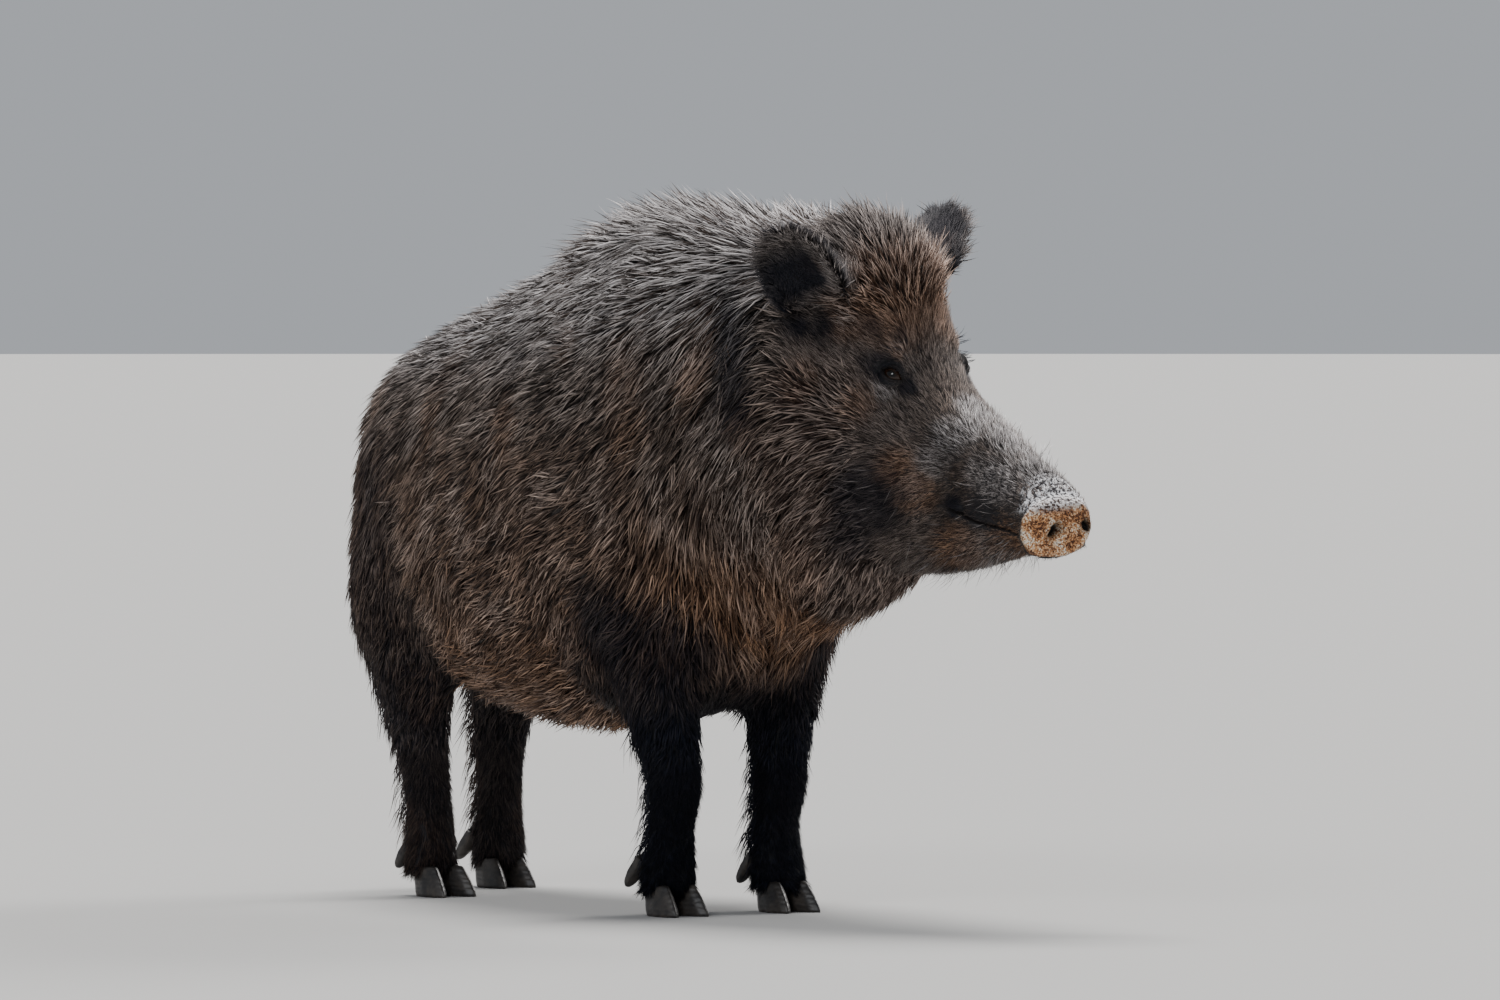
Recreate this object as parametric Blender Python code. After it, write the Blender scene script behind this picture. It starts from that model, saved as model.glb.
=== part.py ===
"""A life-size wild boar, standing, with its head lowered a little and turned to its left.

Metres, +X forward along the trunk, +Y to the animal's left, +Z up, floor at Z 0.
The flesh is modelled as one form, out to the tips of the coat, and then parted by thin
cuts into head, jaw, neck, trunk and legs. Ears, eyes, hooves, dewclaws and tail are
pieces of their own.
"""

import math

import bmesh
import bpy
import numpy as np
from mathutils import Matrix, Vector

for old in list(bpy.data.objects):
    bpy.data.objects.remove(old, do_unlink=True)

# ---- driving sizes -------------------------------------------------------------------

GAP = 0.0006  # thin cut between two solids
WITHERS = 0.842  # height of the crest of bristles over the shoulders
RING_POINTS = 24
BALL_RINGS = 9
STEPS = 4  # rings laid between two stations
BODY_VOXEL = 0.008
HEAD_VOXEL = 0.0045
BODY_TRIANGLES = 2420
HEAD_TRIANGLES = 1240

# Trunk stations: distance forward, back line, belly line, half width, and how square the
# upper half of the section is (2 is an ellipse, less is peaked).
TRUNK = [
    (-0.415, 0.562, 0.460, 0.034, 2.20),
    (-0.395, 0.608, 0.412, 0.082, 2.20),
    (-0.345, 0.650, 0.345, 0.124, 2.20),
    (-0.265, 0.686, 0.281, 0.158, 2.15),
    (-0.150, 0.722, 0.228, 0.182, 2.00),
    (-0.060, 0.750, 0.206, 0.196, 1.85),
    (0.020, 0.790, 0.200, 0.204, 1.72),
    (0.090, 0.824, 0.203, 0.206, 1.68),
    (0.175, WITHERS, 0.218, 0.203, 1.72),
    (0.270, 0.836, 0.240, 0.192, 1.90),
    (0.370, 0.828, 0.292, 0.165, 2.00),
    (0.420, 0.785, 0.380, 0.120, 2.10),
]
TRUNK_WAIST = 0.46  # share of the depth, from the belly, at which the trunk is widest
BELLY_SQUARE = 2.15

# Head frame: the origin is the middle of the snout disc, forward is the way it faces.
SNOUT = Vector((0.812, 0.086, 0.4560))
HEAD_TURN = math.radians(12)
HEAD_ROLL = math.radians(6)  # the left side of the head is held a little higher
ROLL_AXIS = 0.15  # height above the snout about which the head rolls

# Neck stations: forward, left, top line, throat line, half width.
NECK = [
    (0.270, 0.000, 0.832, 0.285, 0.182),
    (0.340, 0.004, 0.828, 0.300, 0.174),
    (0.410, 0.010, 0.828, 0.314, 0.162),
    (0.475, 0.020, 0.828, 0.342, 0.148),
    (0.530, 0.030, 0.820, 0.378, 0.128),
]
NECK_LEAN = math.radians(12)  # of the neck's last section, its top leaning back
NECK_WAIST = 0.48
LIMB_SQUARE = 2.1  # squareness of the sections of neck, jaw and legs


def head_point(forward, left, up):
    """A point given in the head frame, in world coordinates."""
    turn, roll = Matrix.Rotation(HEAD_TURN, 3, "Z"), Matrix.Rotation(HEAD_ROLL, 3, "X")
    axis = Vector((0, 0, ROLL_AXIS))
    return SNOUT + turn @ (roll @ (Vector((forward, left, up)) - axis) + axis)


def head_vector(forward, left, up):
    """A direction given in the head frame, in world coordinates, of length 1."""
    return (head_point(forward, left, up) - head_point(0, 0, 0)).normalized()


# ---- materials -----------------------------------------------------------------------


def finish(name, colour, roughness, metallic=0.0):
    """A Principled finish that the nodes of one kind share."""
    made = bpy.data.materials.new(name)
    made.use_nodes = True
    shader = made.node_tree.nodes["Principled BSDF"]
    shader.inputs["Base Color"].default_value = (*colour, 1.0)
    shader.inputs["Roughness"].default_value = roughness
    shader.inputs["Metallic"].default_value = metallic
    made.diffuse_color = (*colour, 1.0)
    return made


BROWN_COAT = finish("brown_coat", (0.060, 0.042, 0.034), 0.8)
BLACK_COAT = finish("black_coat", (0.012, 0.011, 0.013), 0.8)
FACE_COAT = finish("face_coat", (0.085, 0.062, 0.048), 0.8)
SNOUT_SKIN = finish("snout_skin", (0.230, 0.150, 0.110), 0.6)
EYE_GLOSS = finish("eye_gloss", (0.012, 0.007, 0.005), 0.1)
HOOF_HORN = finish("hoof_horn", (0.030, 0.026, 0.024), 0.5)


# ---- modelling helpers ---------------------------------------------------------------


def curve_through(rows, steps=STEPS):
    """The rows with further rows between them, on a Catmull-Rom curve."""
    rows = np.array(rows, float)
    first, last = 2 * rows[0] - rows[1], 2 * rows[-1] - rows[-2]
    p = np.vstack([first, rows, last])
    made = []
    for i in range(1, len(p) - 2):
        for t in np.arange(steps) / steps:
            a, b, c, d = p[i - 1], p[i], p[i + 1], p[i + 2]
            made.append(
                0.5 * (2 * b + (c - a) * t + (2 * a - 5 * b + 4 * c - d) * t**2
                       + (3 * b - a - 3 * c + d) * t**3)
            )
    return np.vstack([made, rows[-1]])


def ring(centre, side, up, half_width, rise, drop, square=2.2, top_square=None):
    """Points of a rounded section: rise above its centre, drop below it."""
    points = []
    for i in range(RING_POINTS):
        turn = 2 * math.pi * i / RING_POINTS
        upper = math.cos(turn) > 0
        power = 2 / (top_square if upper and top_square else square)
        across = math.copysign(abs(math.sin(turn)) ** power, math.sin(turn))
        along = math.copysign(abs(math.cos(turn)) ** power, math.cos(turn))
        reach = rise if upper else drop
        points.append(centre + side * half_width * across + up * reach * along)
    return points


def loft(name, rings):
    """A closed mesh object through rings of equal count, with flat ends."""
    form = bmesh.new()
    loops = []
    for points in rings:
        corners = [form.verts.new(p) for p in points]
        loops.append([form.edges.new((corners[i - 1], corners[i])) for i in range(len(corners))])
    for near, far in zip(loops, loops[1:]):
        bmesh.ops.bridge_loops(form, edges=near + far)
    for end in (loops[0], loops[-1]):
        bmesh.ops.contextual_create(form, geom=end)
    bmesh.ops.recalc_face_normals(form, faces=form.faces)
    bmesh.ops.triangulate(form, faces=form.faces)
    return as_object(name, form)


def as_object(name, form):
    mesh = bpy.data.meshes.new(name)
    form.to_mesh(mesh)
    form.free()
    made = bpy.data.objects.new(name, mesh)
    bpy.context.scene.collection.objects.link(made)
    return made


def ball(name, centre, radii, turn=None):
    """An ellipsoid with its radii along the axes of turn, a rotation matrix."""
    form = bmesh.new()
    bmesh.ops.create_uvsphere(form, u_segments=BALL_RINGS * 2, v_segments=BALL_RINGS, radius=1.0)
    place = Matrix.Translation(centre) @ (turn or Matrix.Identity(3)).to_4x4()
    bmesh.ops.transform(form, matrix=place @ Matrix.Diagonal((*radii, 1.0)), verts=form.verts)
    return as_object(name, form)


def baked(target):
    """The object with its modifiers applied."""
    graph = bpy.context.evaluated_depsgraph_get()
    mesh = bpy.data.meshes.new_from_object(target.evaluated_get(graph))
    target.modifiers.clear()
    target.data = mesh
    return target


def one_form(name, parts, voxel, smoothing, triangles):
    """The parts joined into one smooth closed form of about that many triangles."""
    form = bmesh.new()
    for part in parts:
        form.from_mesh(part.data)
    made = as_object(name, form)
    remesh = made.modifiers.new("join", "REMESH")
    remesh.mode = "VOXEL"
    remesh.voxel_size = voxel
    soften = made.modifiers.new("soften", "SMOOTH")
    soften.factor = 0.5
    soften.iterations = smoothing
    baked(made)
    thin = made.modifiers.new("thin", "DECIMATE")
    thin.ratio = triangles / (2 * len(made.data.polygons))
    return baked(made)


def cut(target, tool, operation):
    """target with the tool taken away, or only what lies within it."""
    boolean = target.modifiers.new(operation.lower(), "BOOLEAN")
    boolean.operation = operation
    boolean.object = tool
    boolean.solver = "EXACT"
    baked(target)
    return target


def copy_of(source, name):
    made = bpy.data.objects.new(name, source.data.copy())
    bpy.context.scene.collection.objects.link(made)
    return made


def half_space(point, normal, gap=GAP / 2):
    """A tool that fills all on the side of the plane that the normal points to."""
    size = 3.0
    form = bmesh.new()
    bmesh.ops.create_cube(form, size=size)
    turn = Vector(normal).to_track_quat("Z", "Y").to_matrix().to_4x4()
    middle = Vector(point) + Vector(normal).normalized() * (size / 2 + gap)
    bmesh.ops.transform(form, matrix=Matrix.Translation(middle) @ turn, verts=form.verts)
    return as_object("half_space", form)


def keep_side(target, point, normal):
    """Cuts target at a plane and keeps the side that the normal points to."""
    tool = half_space(point, normal)
    cut(target, tool, "INTERSECT")
    bpy.data.objects.remove(tool)
    return target


def limb_region(low, high, top_point, top_normal, grow):
    """A tool round one limb: an upright box under a sloping plane, grown on each side."""
    form = bmesh.new()
    bmesh.ops.create_cube(form, size=1.0)
    low, high = Vector(low) - Vector((grow,) * 3), Vector(high) + Vector((grow,) * 3)
    place = Matrix.Translation((low + high) / 2) @ Matrix.Diagonal((*(high - low), 1.0))
    bmesh.ops.transform(form, matrix=place, verts=form.verts)
    normal = Vector(top_normal).normalized()
    bmesh.ops.bisect_plane(
        form,
        geom=[*form.verts, *form.edges, *form.faces],
        plane_co=Vector(top_point) + normal * grow,
        plane_no=normal,
        clear_outer=True,
    )
    bmesh.ops.holes_fill(form, edges=form.edges)
    bmesh.ops.recalc_face_normals(form, faces=form.faces)
    return as_object("limb_region", form)


def node(made, material):
    """Marks an object as one of the boar's nodes, with its finish."""
    made.data.materials.clear()
    made.data.materials.append(material)
    NODES.append(made)
    return made


NODES = []
SIDES = {"right": -1, "left": 1}

# ---- trunk and neck ------------------------------------------------------------------


def trunk_form():
    rings = []
    for x, top, bottom, half_width, top_square in curve_through(TRUNK):
        middle = bottom + TRUNK_WAIST * (top - bottom)
        rings.append(
            ring(Vector((x, 0, middle)), Vector((0, 1, 0)), Vector((0, 0, 1)), half_width,
                 top - middle, middle - bottom, BELLY_SQUARE, top_square)
        )
    return loft("trunk_form", rings)


def neck_form():
    rings = []
    rows = curve_through(NECK)
    for i, (x, y, top, bottom, half_width) in enumerate(rows):
        share = i / (len(rows) - 1)
        ahead = Vector((math.cos(HEAD_TURN * share), math.sin(HEAD_TURN * share), 0))
        side = Vector((-ahead.y, ahead.x, 0))
        up = (Vector((0, 0, 1)) - ahead * math.tan(NECK_LEAN * share)).normalized()
        middle = bottom + NECK_WAIST * (top - bottom)
        rings.append(ring(Vector((x, y, middle)), side, up, half_width,
                          top - middle, middle - bottom, LIMB_SQUARE))
    return loft("neck_form", rings)


# ---- legs ----------------------------------------------------------------------------

# Stations down a leg: height, distance forward of the foot, out from the middle plane,
# radius fore and aft, radius across.
FORE_LEG = [
    (0.440, -0.010, 0.108, 0.088, 0.070),
    (0.360, -0.016, 0.102, 0.078, 0.062),
    (0.290, -0.020, 0.094, 0.064, 0.052),
    (0.230, -0.014, 0.086, 0.048, 0.043),
    (0.180, -0.006, 0.080, 0.038, 0.036),
    (0.145, -0.002, 0.078, 0.037, 0.035),
    (0.105, -0.004, 0.076, 0.030, 0.031),
    (0.065, -0.001, 0.076, 0.033, 0.037),
    (0.020, 0.014, 0.077, 0.036, 0.039),
]
HIND_LEG = [
    (0.600, 0.012, 0.058, 0.096, 0.066),
    (0.520, 0.014, 0.072, 0.120, 0.076),
    (0.430, 0.014, 0.084, 0.126, 0.078),
    (0.350, -0.002, 0.092, 0.106, 0.070),
    (0.290, -0.016, 0.092, 0.078, 0.056),
    (0.240, -0.026, 0.089, 0.056, 0.044),
    (0.205, -0.032, 0.088, 0.045, 0.038),
    (0.160, -0.026, 0.086, 0.035, 0.033),
    (0.110, -0.014, 0.085, 0.031, 0.031),
    (0.065, -0.004, 0.085, 0.033, 0.036),
    (0.020, 0.008, 0.085, 0.036, 0.039),
]
FOOT_X = {
    ("fore", "right"): 0.254,
    ("fore", "left"): 0.256,
    ("hind", "right"): -0.238,
    ("hind", "left"): -0.362,
}
LEG_ROOT_X = {"fore": 0.268, "hind": -0.258}
# How far each leg's middle joint is carried forward of the line from root to foot, and
# the height of that joint.
JOINT_AHEAD = {
    ("fore", "right"): 0.026,
    ("fore", "left"): 0.010,
    ("hind", "right"): 0.024,
    ("hind", "left"): 0.004,
}
JOINT_HEIGHT = 0.180
JOINT_REACH = 0.150  # distance above and below over which that dies away


def leg_rows(pair, side):
    """The stations of one leg in world coordinates, leaning from its root to its foot."""
    rows = curve_through(FORE_LEG if pair == "fore" else HIND_LEG)
    top = rows[0][0]
    made = []
    for height, ahead, out, along, across in rows:
        share = min(1.0, height / (0.8 * top))
        carried = max(0.0, 1 - ((height - JOINT_HEIGHT) / JOINT_REACH) ** 2)
        x = FOOT_X[pair, side] * (1 - share) + LEG_ROOT_X[pair] * share + ahead
        x += JOINT_AHEAD[pair, side] * carried
        made.append((Vector((x, SIDES[side] * out, height)), along, across))
    return made


def leg_form(pair, side):
    rings = [
        ring(centre, Vector((0, 1, 0)), Vector((1, 0, 0)), across, along, along, LIMB_SQUARE)
        for centre, along, across in leg_rows(pair, side)
    ]
    return loft(f"{pair}_{side}_form", rings)


# ---- head ----------------------------------------------------------------------------

# Upper head stations: forward, up, pitch of the section in degrees, half width, reach
# above and below the station.
MUZZLE = [
    (-0.370, 0.190, 10, 0.110, 0.120, 0.150),
    (-0.305, 0.150, 24, 0.106, 0.138, 0.130),
    (-0.245, 0.118, 32, 0.087, 0.110, 0.120),
    (-0.190, 0.086, 34, 0.069, 0.084, 0.103),
    (-0.135, 0.056, 32, 0.056, 0.080, 0.076),
    (-0.085, 0.032, 31, 0.048, 0.068, 0.056),
    (-0.040, 0.013, 28, 0.044, 0.055, 0.042),
    (-0.012, 0.003, 16, 0.042, 0.044, 0.037),
    (0.003, 0.000, 2, 0.042, 0.037, 0.034),
]
JAW = [
    (-0.370, 0.020, 10, 0.100, 0.120, 0.080),
    (-0.300, 0.002, 5, 0.103, 0.110, 0.062),
    (-0.230, -0.006, 3, 0.090, 0.080, 0.054),
    (-0.160, -0.014, -2, 0.064, 0.050, 0.044),
    (-0.105, -0.019, -4, 0.044, 0.034, 0.030),
    (-0.066, -0.020, -8, 0.033, 0.022, 0.019),
    (-0.052, -0.021, -8, 0.022, 0.014, 0.011),
]


def head_loft(name, rows, square):
    side = head_vector(0, 1, 0)
    rings = []
    for forward, height, pitch, half_width, rise, drop in curve_through(rows):
        slope = math.radians(pitch)
        up = head_vector(math.sin(slope), 0, math.cos(slope))
        centre = head_point(forward, 0, height)
        rings.append(ring(centre, side, up, half_width, rise, drop, square))
    return loft(name, rings)


# Rounded masses: forward, out, up in the head frame, and radii along, across and up.
SKULL = {
    "cranium": ((-0.282, 0, 0.216), (0.108, 0.098, 0.148)),
    "poll": ((-0.350, 0, 0.205), (0.110, 0.122, 0.152)),
}
FACE = {
    "cheek": ((-0.285, 0.060, 0.078), (0.130, 0.062, 0.120)),
    "brow": ((-0.218, 0.046, 0.186), (0.040, 0.026, 0.024)),
    "lip": ((-0.112, 0.036, 0.018), (0.030, 0.024, 0.026)),
}
FACE_TILT = math.radians(35)  # nose-down tilt of the masses of the face


def head_forms():
    """The overlapping masses of the head: muzzle, jaw, cranium, cheeks, brows and lips."""
    turn = Matrix.Rotation(HEAD_TURN, 3, "Z") @ Matrix.Rotation(HEAD_ROLL, 3, "X")
    tilt = turn @ Matrix.Rotation(FACE_TILT, 3, "Y")
    masses = [head_loft("muzzle", MUZZLE, 2.2), head_loft("jaw", JAW, LIMB_SQUARE)]
    for name, (place, radii) in SKULL.items():
        masses.append(ball(name, head_point(*place), radii, turn))
    for side, out in SIDES.items():
        for name, ((forward, away, up), radii) in FACE.items():
            masses.append(ball(f"{name}_{side}", head_point(forward, out * away, up), radii, tilt))
    return masses


# ---- ears, eyes, snout disc, tail, hooves --------------------------------------------

EYE_RADIUS = 0.0125
EYE = (-0.199, 0.0520, 0.175)  # forward, out and up in the head frame
SOCKET = (0.024, 0.013, 0.015)  # half sizes of the dip in the coat round the eye
SOCKET_SHIFT = (0.006, 0.012, 0.005)
SOCKET_TURN = math.radians(35)
SOCKET_PITCH = math.radians(30)

# Root, tip and the way the hollow opens, each as forward, out and up. The right ear is
# held forward and the left one is swung a little back.
EAR_PLACE = {
    "right": ((-0.262, 0.084, 0.220), (-0.266, 0.152, 0.350), (0.34, 0.90, -0.25)),
    "left": ((-0.282, 0.078, 0.230), (-0.298, 0.155, 0.342), (-0.05, 0.95, -0.25)),
}
# Share of the length, half width, depth of the hollow, half thickness.
EAR = [
    (0.00, 0.034, 0.034, 0.0085),
    (0.25, 0.043, 0.036, 0.0080),
    (0.50, 0.048, 0.028, 0.0070),
    (0.75, 0.043, 0.017, 0.0060),
    (0.92, 0.029, 0.008, 0.0050),
    (1.00, 0.013, 0.003, 0.0040),
]
EAR_ARC = 4  # points on each half of the hollow
EAR_HOLLOW = (0.033, 0.030, 0.052)  # half sizes of the hollow: across, outward, along
EAR_HOLLOW_SHARE = 0.36  # how far up the ear the hollow's middle lies
EAR_HOLLOW_OUT = 0.012


def ear_axes(side):
    """The ear's root, its length, and the unit directions it faces and spreads in."""
    out = SIDES[side]
    root, tip = (head_point(f, out * l, u) for f, l, u in EAR_PLACE[side][:2])
    ahead = (tip - root).normalized()
    forward, left, up = EAR_PLACE[side][2]
    facing = head_vector(forward, out * left, up)
    facing = (facing - ahead * facing.dot(ahead)).normalized()
    return root, tip - root, facing, ahead.cross(facing)


def ear(side):
    """A rounded leaf bent round a hollow, its root seated in the head."""
    root, length, facing, across = ear_axes(side)
    shares = [i / EAR_ARC for i in range(-EAR_ARC, EAR_ARC + 1)]
    rings = []
    for share, half_width, depth, thick in EAR:
        back, front = [], []
        for s in shares:
            middle = root + length * share + across * half_width * s - facing * depth * (1 - s * s)
            half = thick * (1 - 0.5 * s * s)
            back.append(middle - facing * half)
            front.append(middle + facing * half)
        rings.append(back + front[::-1])
    return loft(f"ear_{side}", rings)


def ear_hollow(side):
    """A tool for the hollow in front of the ear's root."""
    root, length, facing, across = ear_axes(side)
    turn = Matrix((across, facing, length.normalized())).transposed()
    middle = root + length * EAR_HOLLOW_SHARE + facing * EAR_HOLLOW_OUT
    return ball("ear_hollow", middle, EAR_HOLLOW, turn)


DISC_PITCH = math.radians(-8)
DISC_HALF_WIDTH = 0.046
DISC_RISE = 0.037
DISC_DROP = 0.034
# Distance forward of the disc's middle, share of its full size.
DISC = [(-0.005, 0.90), (-0.002, 0.98), (0.005, 1.0), (0.010, 0.97), (0.013, 0.86), (0.014, 0.5)]


def disc():
    """The flat end of the snout: a rounded cushion, broader than high, facing forward."""
    side = head_vector(0, 1, 0)
    facing = head_vector(math.cos(DISC_PITCH), 0, math.sin(DISC_PITCH))
    up = facing.cross(side)
    rings = []
    for ahead, size in DISC:
        centre = SNOUT + facing * ahead
        half_width, rise, drop = (size * r for r in (DISC_HALF_WIDTH, DISC_RISE, DISC_DROP))
        rings.append(ring(centre, side, up, half_width, rise, drop, 2.3))
    return loft("snout_disc", rings)


# Tail stations: forward, left, up, radius.
TAIL = [
    (-0.375, 0.004, 0.606, 0.018),
    (-0.412, 0.008, 0.592, 0.017),
    (-0.436, 0.014, 0.545, 0.014),
    (-0.444, 0.020, 0.475, 0.013),
    (-0.443, 0.024, 0.405, 0.016),
    (-0.440, 0.026, 0.350, 0.019),
    (-0.437, 0.028, 0.308, 0.014),
    (-0.435, 0.028, 0.284, 0.004),
]


def tail():
    """The tail, hanging, with its flat tassel."""
    rows = curve_through(TAIL, 2)
    rings = []
    for i, (x, y, z, radius) in enumerate(rows):
        near, far = rows[max(i - 1, 0)], rows[min(i + 1, len(rows) - 1)]
        along = (Vector(far[:3]) - Vector(near[:3])).normalized()
        side = Vector((0, 1, 0))
        up = along.cross(side).normalized()
        rings.append(ring(Vector((x, y, z)), side, up, radius, radius, radius, 2.0)[::2])
    return loft("tail", rings)


# A claw: its sole's outline has a pointed front, and each level above it is smaller.
HOOF_POINTS = 10
HOOF_LENGTH = 0.057
HOOF_WIDTH = 0.030
HOOF_TIP = 0.010  # how far the point reaches ahead of the oval
HOOF_TAPER = 0.25  # share of the width lost at the point
HOOF_RAKE = 0.42  # how far each level steps back for its height
HOOF_TOE_OUT = math.radians(7)
HOOF_AHEAD = 0.020
HOOF_OFFSET = 0.0175  # of each claw from the middle of the foot
HOOF_LEVELS = [(0.000, 1.00), (0.006, 1.02), (0.022, 0.90), (0.036, 0.72)]  # height, size


def hoof(name, foot, side):
    """One claw: flat below, pointed in front, its front wall sloping back as it rises."""
    rings = []
    for height, size in HOOF_LEVELS:
        points = []
        for i in range(HOOF_POINTS):
            turn = 2 * math.pi * i / HOOF_POINTS
            point = max(math.cos(turn), 0) ** 2
            x = size * (HOOF_LENGTH / 2 * math.cos(turn) + HOOF_TIP * point) - HOOF_RAKE * height
            y = size * HOOF_WIDTH / 2 * math.sin(turn) * (1 - HOOF_TAPER * point)
            points.append(Vector((x, y, height)))
        rings.append(points)
    made = loft(name, rings)
    place = Matrix.Translation(Vector(foot) + Vector((HOOF_AHEAD, side * HOOF_OFFSET, 0)))
    made.data.transform(place @ Matrix.Rotation(side * HOOF_TOE_OUT, 4, "Z"))
    return made


DEWCLAW_ROOT = Vector((-0.014, 0.020, 0.066))  # from the foot's middle; Y is outward
DEWCLAW_WAY = Vector((-0.55, 0.22, -0.80))
DEWCLAW_LENGTH = 0.042
DEWCLAW_LEVELS = [(0.0, 0.0105), (0.5, 0.0105), (0.85, 0.0075), (1.0, 0.0035)]  # share, radius


def dewclaw(name, foot, side):
    """One of the pair of small claws behind the foot, pointing down and back."""
    mirror = Matrix.Diagonal((1, side, 1))
    root = Vector(foot) + mirror @ DEWCLAW_ROOT
    along = (mirror @ DEWCLAW_WAY).normalized()
    across = Vector((0, 1, 0))
    up = along.cross(across).normalized()
    rings = []
    for share, radius in DEWCLAW_LEVELS:
        centre = root + along * DEWCLAW_LENGTH * share
        rings.append(ring(centre, across, up, radius, radius, radius, 2.0)[::4])
    return loft(name, rings)


# ---- build ---------------------------------------------------------------------------


def biggest(target):
    """Drops every loose part of target but the largest."""
    form = bmesh.new()
    form.from_mesh(target.data)
    bmesh.ops.remove_doubles(form, verts=form.verts, dist=1e-6)
    left = set(form.verts)
    parts = []
    while left:
        edge = [left.pop()]
        part = set(edge)
        while edge:
            near = {e.other_vert(v) for v in edge for e in v.link_edges} & left
            left -= near
            part |= near
            edge = list(near)
        parts.append(part)
    parts.sort(key=len)
    for part in parts[:-1]:
        bmesh.ops.delete(form, geom=list(part), context="VERTS")
    bmesh.ops.triangulate(form, faces=form.faces)
    form.to_mesh(target.data)
    form.free()
    return target


def inflated(source, by):
    """A copy of source, grown by that much all round."""
    made = copy_of(source, "inflated")
    form = bmesh.new()
    form.from_mesh(made.data)
    form.normal_update()
    for vertex in form.verts:
        vertex.co += vertex.normal * by
    form.to_mesh(made.data)
    form.free()
    return made


def seat(piece, holder, by=GAP / 2):
    """Clears a pocket in holder for piece, with a thin gap all round."""
    tool = inflated(piece, by)
    cut(holder, tool, "DIFFERENCE")
    bpy.data.objects.remove(tool)


def part_off(source, tool_for, name):
    """Splits the region's share off source and returns it as an object of its own."""
    piece = copy_of(source, name)
    inner, outer = tool_for(-GAP / 2), tool_for(GAP / 2)
    cut(piece, inner, "INTERSECT")
    cut(source, outer, "DIFFERENCE")
    for tool in (inner, outer):
        bpy.data.objects.remove(tool)
    return piece


def plane_tool(point, normal):
    """A tool maker: all that lies on the normal's side of a plane."""
    return lambda grow: half_space(point, normal, -grow)


trunk_and_neck = [trunk_form(), neck_form()]
legs = [leg_form(pair, side) for pair in ("fore", "hind") for side in SIDES]
head_masses = head_forms()
body = one_form("body", trunk_and_neck + legs + head_masses, BODY_VOXEL, 6, BODY_TRIANGLES)
head = one_form("head", [trunk_and_neck[1]] + head_masses, HEAD_VOXEL, 16, HEAD_TRIANGLES)
for form in trunk_and_neck + legs + head_masses:
    bpy.data.objects.remove(form)

# The head is parted from the neck behind the ears and the angle of the jaw.
NAPE = head_point(-0.345, 0, 0.15)
NAPE_FACING = head_vector(1.0, 0, -0.10)
keep_side(head, NAPE, NAPE_FACING)
keep_side(body, NAPE, -NAPE_FACING)

# The neck is parted from the trunk in front of the shoulders.
NECK_CUT = Vector((0.425, 0, 0.55))
NECK_FACING = Vector((1.0, 0.06, 0.25))
neck = part_off(body, plane_tool(NECK_CUT, NECK_FACING), "neck")

# Each leg is parted from the trunk at the shoulder or the hip.
# Low and high corners of its region, then a point on the cut and the cut's direction.
LEG_CUTS = {
    "fore": ((0.120, 0.034, -0.1), (0.405, 0.40, 0.60), (0.28, 0.10, 0.385), (0.10, -0.55, 1.0)),
    "hind": ((-0.560, 0.030, -0.1), (-0.110, 0.40, 0.80), (-0.29, 0.12, 0.600), (-0.25, -0.30, 1.0)),
}


def leg_tool(pair, out):
    low, high, point, normal = LEG_CUTS[pair]
    low_y, high_y = sorted((out * low[1], out * high[1]))

    def make(grow):
        return limb_region(
            (low[0], low_y, low[2]), (high[0], high_y, high[2]),
            (point[0], out * point[1], point[2]), (normal[0], out * normal[1], normal[2]), grow,
        )

    return make


STAND_AHEAD = 0.008  # of the middle of a foot, ahead of its leg's last station
STAND_OUT = {"fore": 0.077, "hind": 0.082}
for pair in ("fore", "hind"):
    for side, out in SIDES.items():
        leg = part_off(body, leg_tool(pair, out), f"{pair}_leg_{side}")
        stand = (FOOT_X[pair, side] + STAND_AHEAD, out * STAND_OUT[pair], 0)
        for place, way in (("inner", -out), ("outer", out)):
            claw = hoof(f"hoof_{pair}_{side}_{place}", stand, way)
            seat(claw, leg)
            node(claw, HOOF_HORN)
            spur = dewclaw(f"dewclaw_{pair}_{side}_{place}", stand, way)
            seat(spur, leg)
            node(spur, HOOF_HORN)
        node(leg, BLACK_COAT)

# The lower jaw is parted along the line of the mouth and up behind its corner. Forward
# and up in the head frame, round the region it is cut from.
JAW_OUTLINE = [
    (0.10, -0.020),
    (-0.060, -0.014),
    (-0.140, -0.004),
    (-0.175, 0.012),
    (-0.305, 0.020),
    (-0.335, -0.30),
    (0.10, -0.30),
]
JAW_MIDDLE = Vector((-0.12, -0.10))
JAW_HALF_WIDTH = 0.3


def jaw_tool(grow):
    """A tool round the lower jaw: below the mouth, in front of the throat."""
    form = bmesh.new()
    corners = []
    for half in (-JAW_HALF_WIDTH, JAW_HALF_WIDTH):
        row = []
        for forward, height in JAW_OUTLINE:
            away = (Vector((forward, height)) - JAW_MIDDLE).normalized() * grow
            row.append(form.verts.new(head_point(forward + away.x, half, height + away.y)))
        corners.append(row)
    form.faces.new(corners[0])
    form.faces.new(corners[1][::-1])
    for i in range(len(JAW_OUTLINE)):
        form.faces.new((corners[0][i - 1], corners[0][i], corners[1][i], corners[1][i - 1]))
    bmesh.ops.recalc_face_normals(form, faces=form.faces)
    return as_object("jaw_tool", form)


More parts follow.
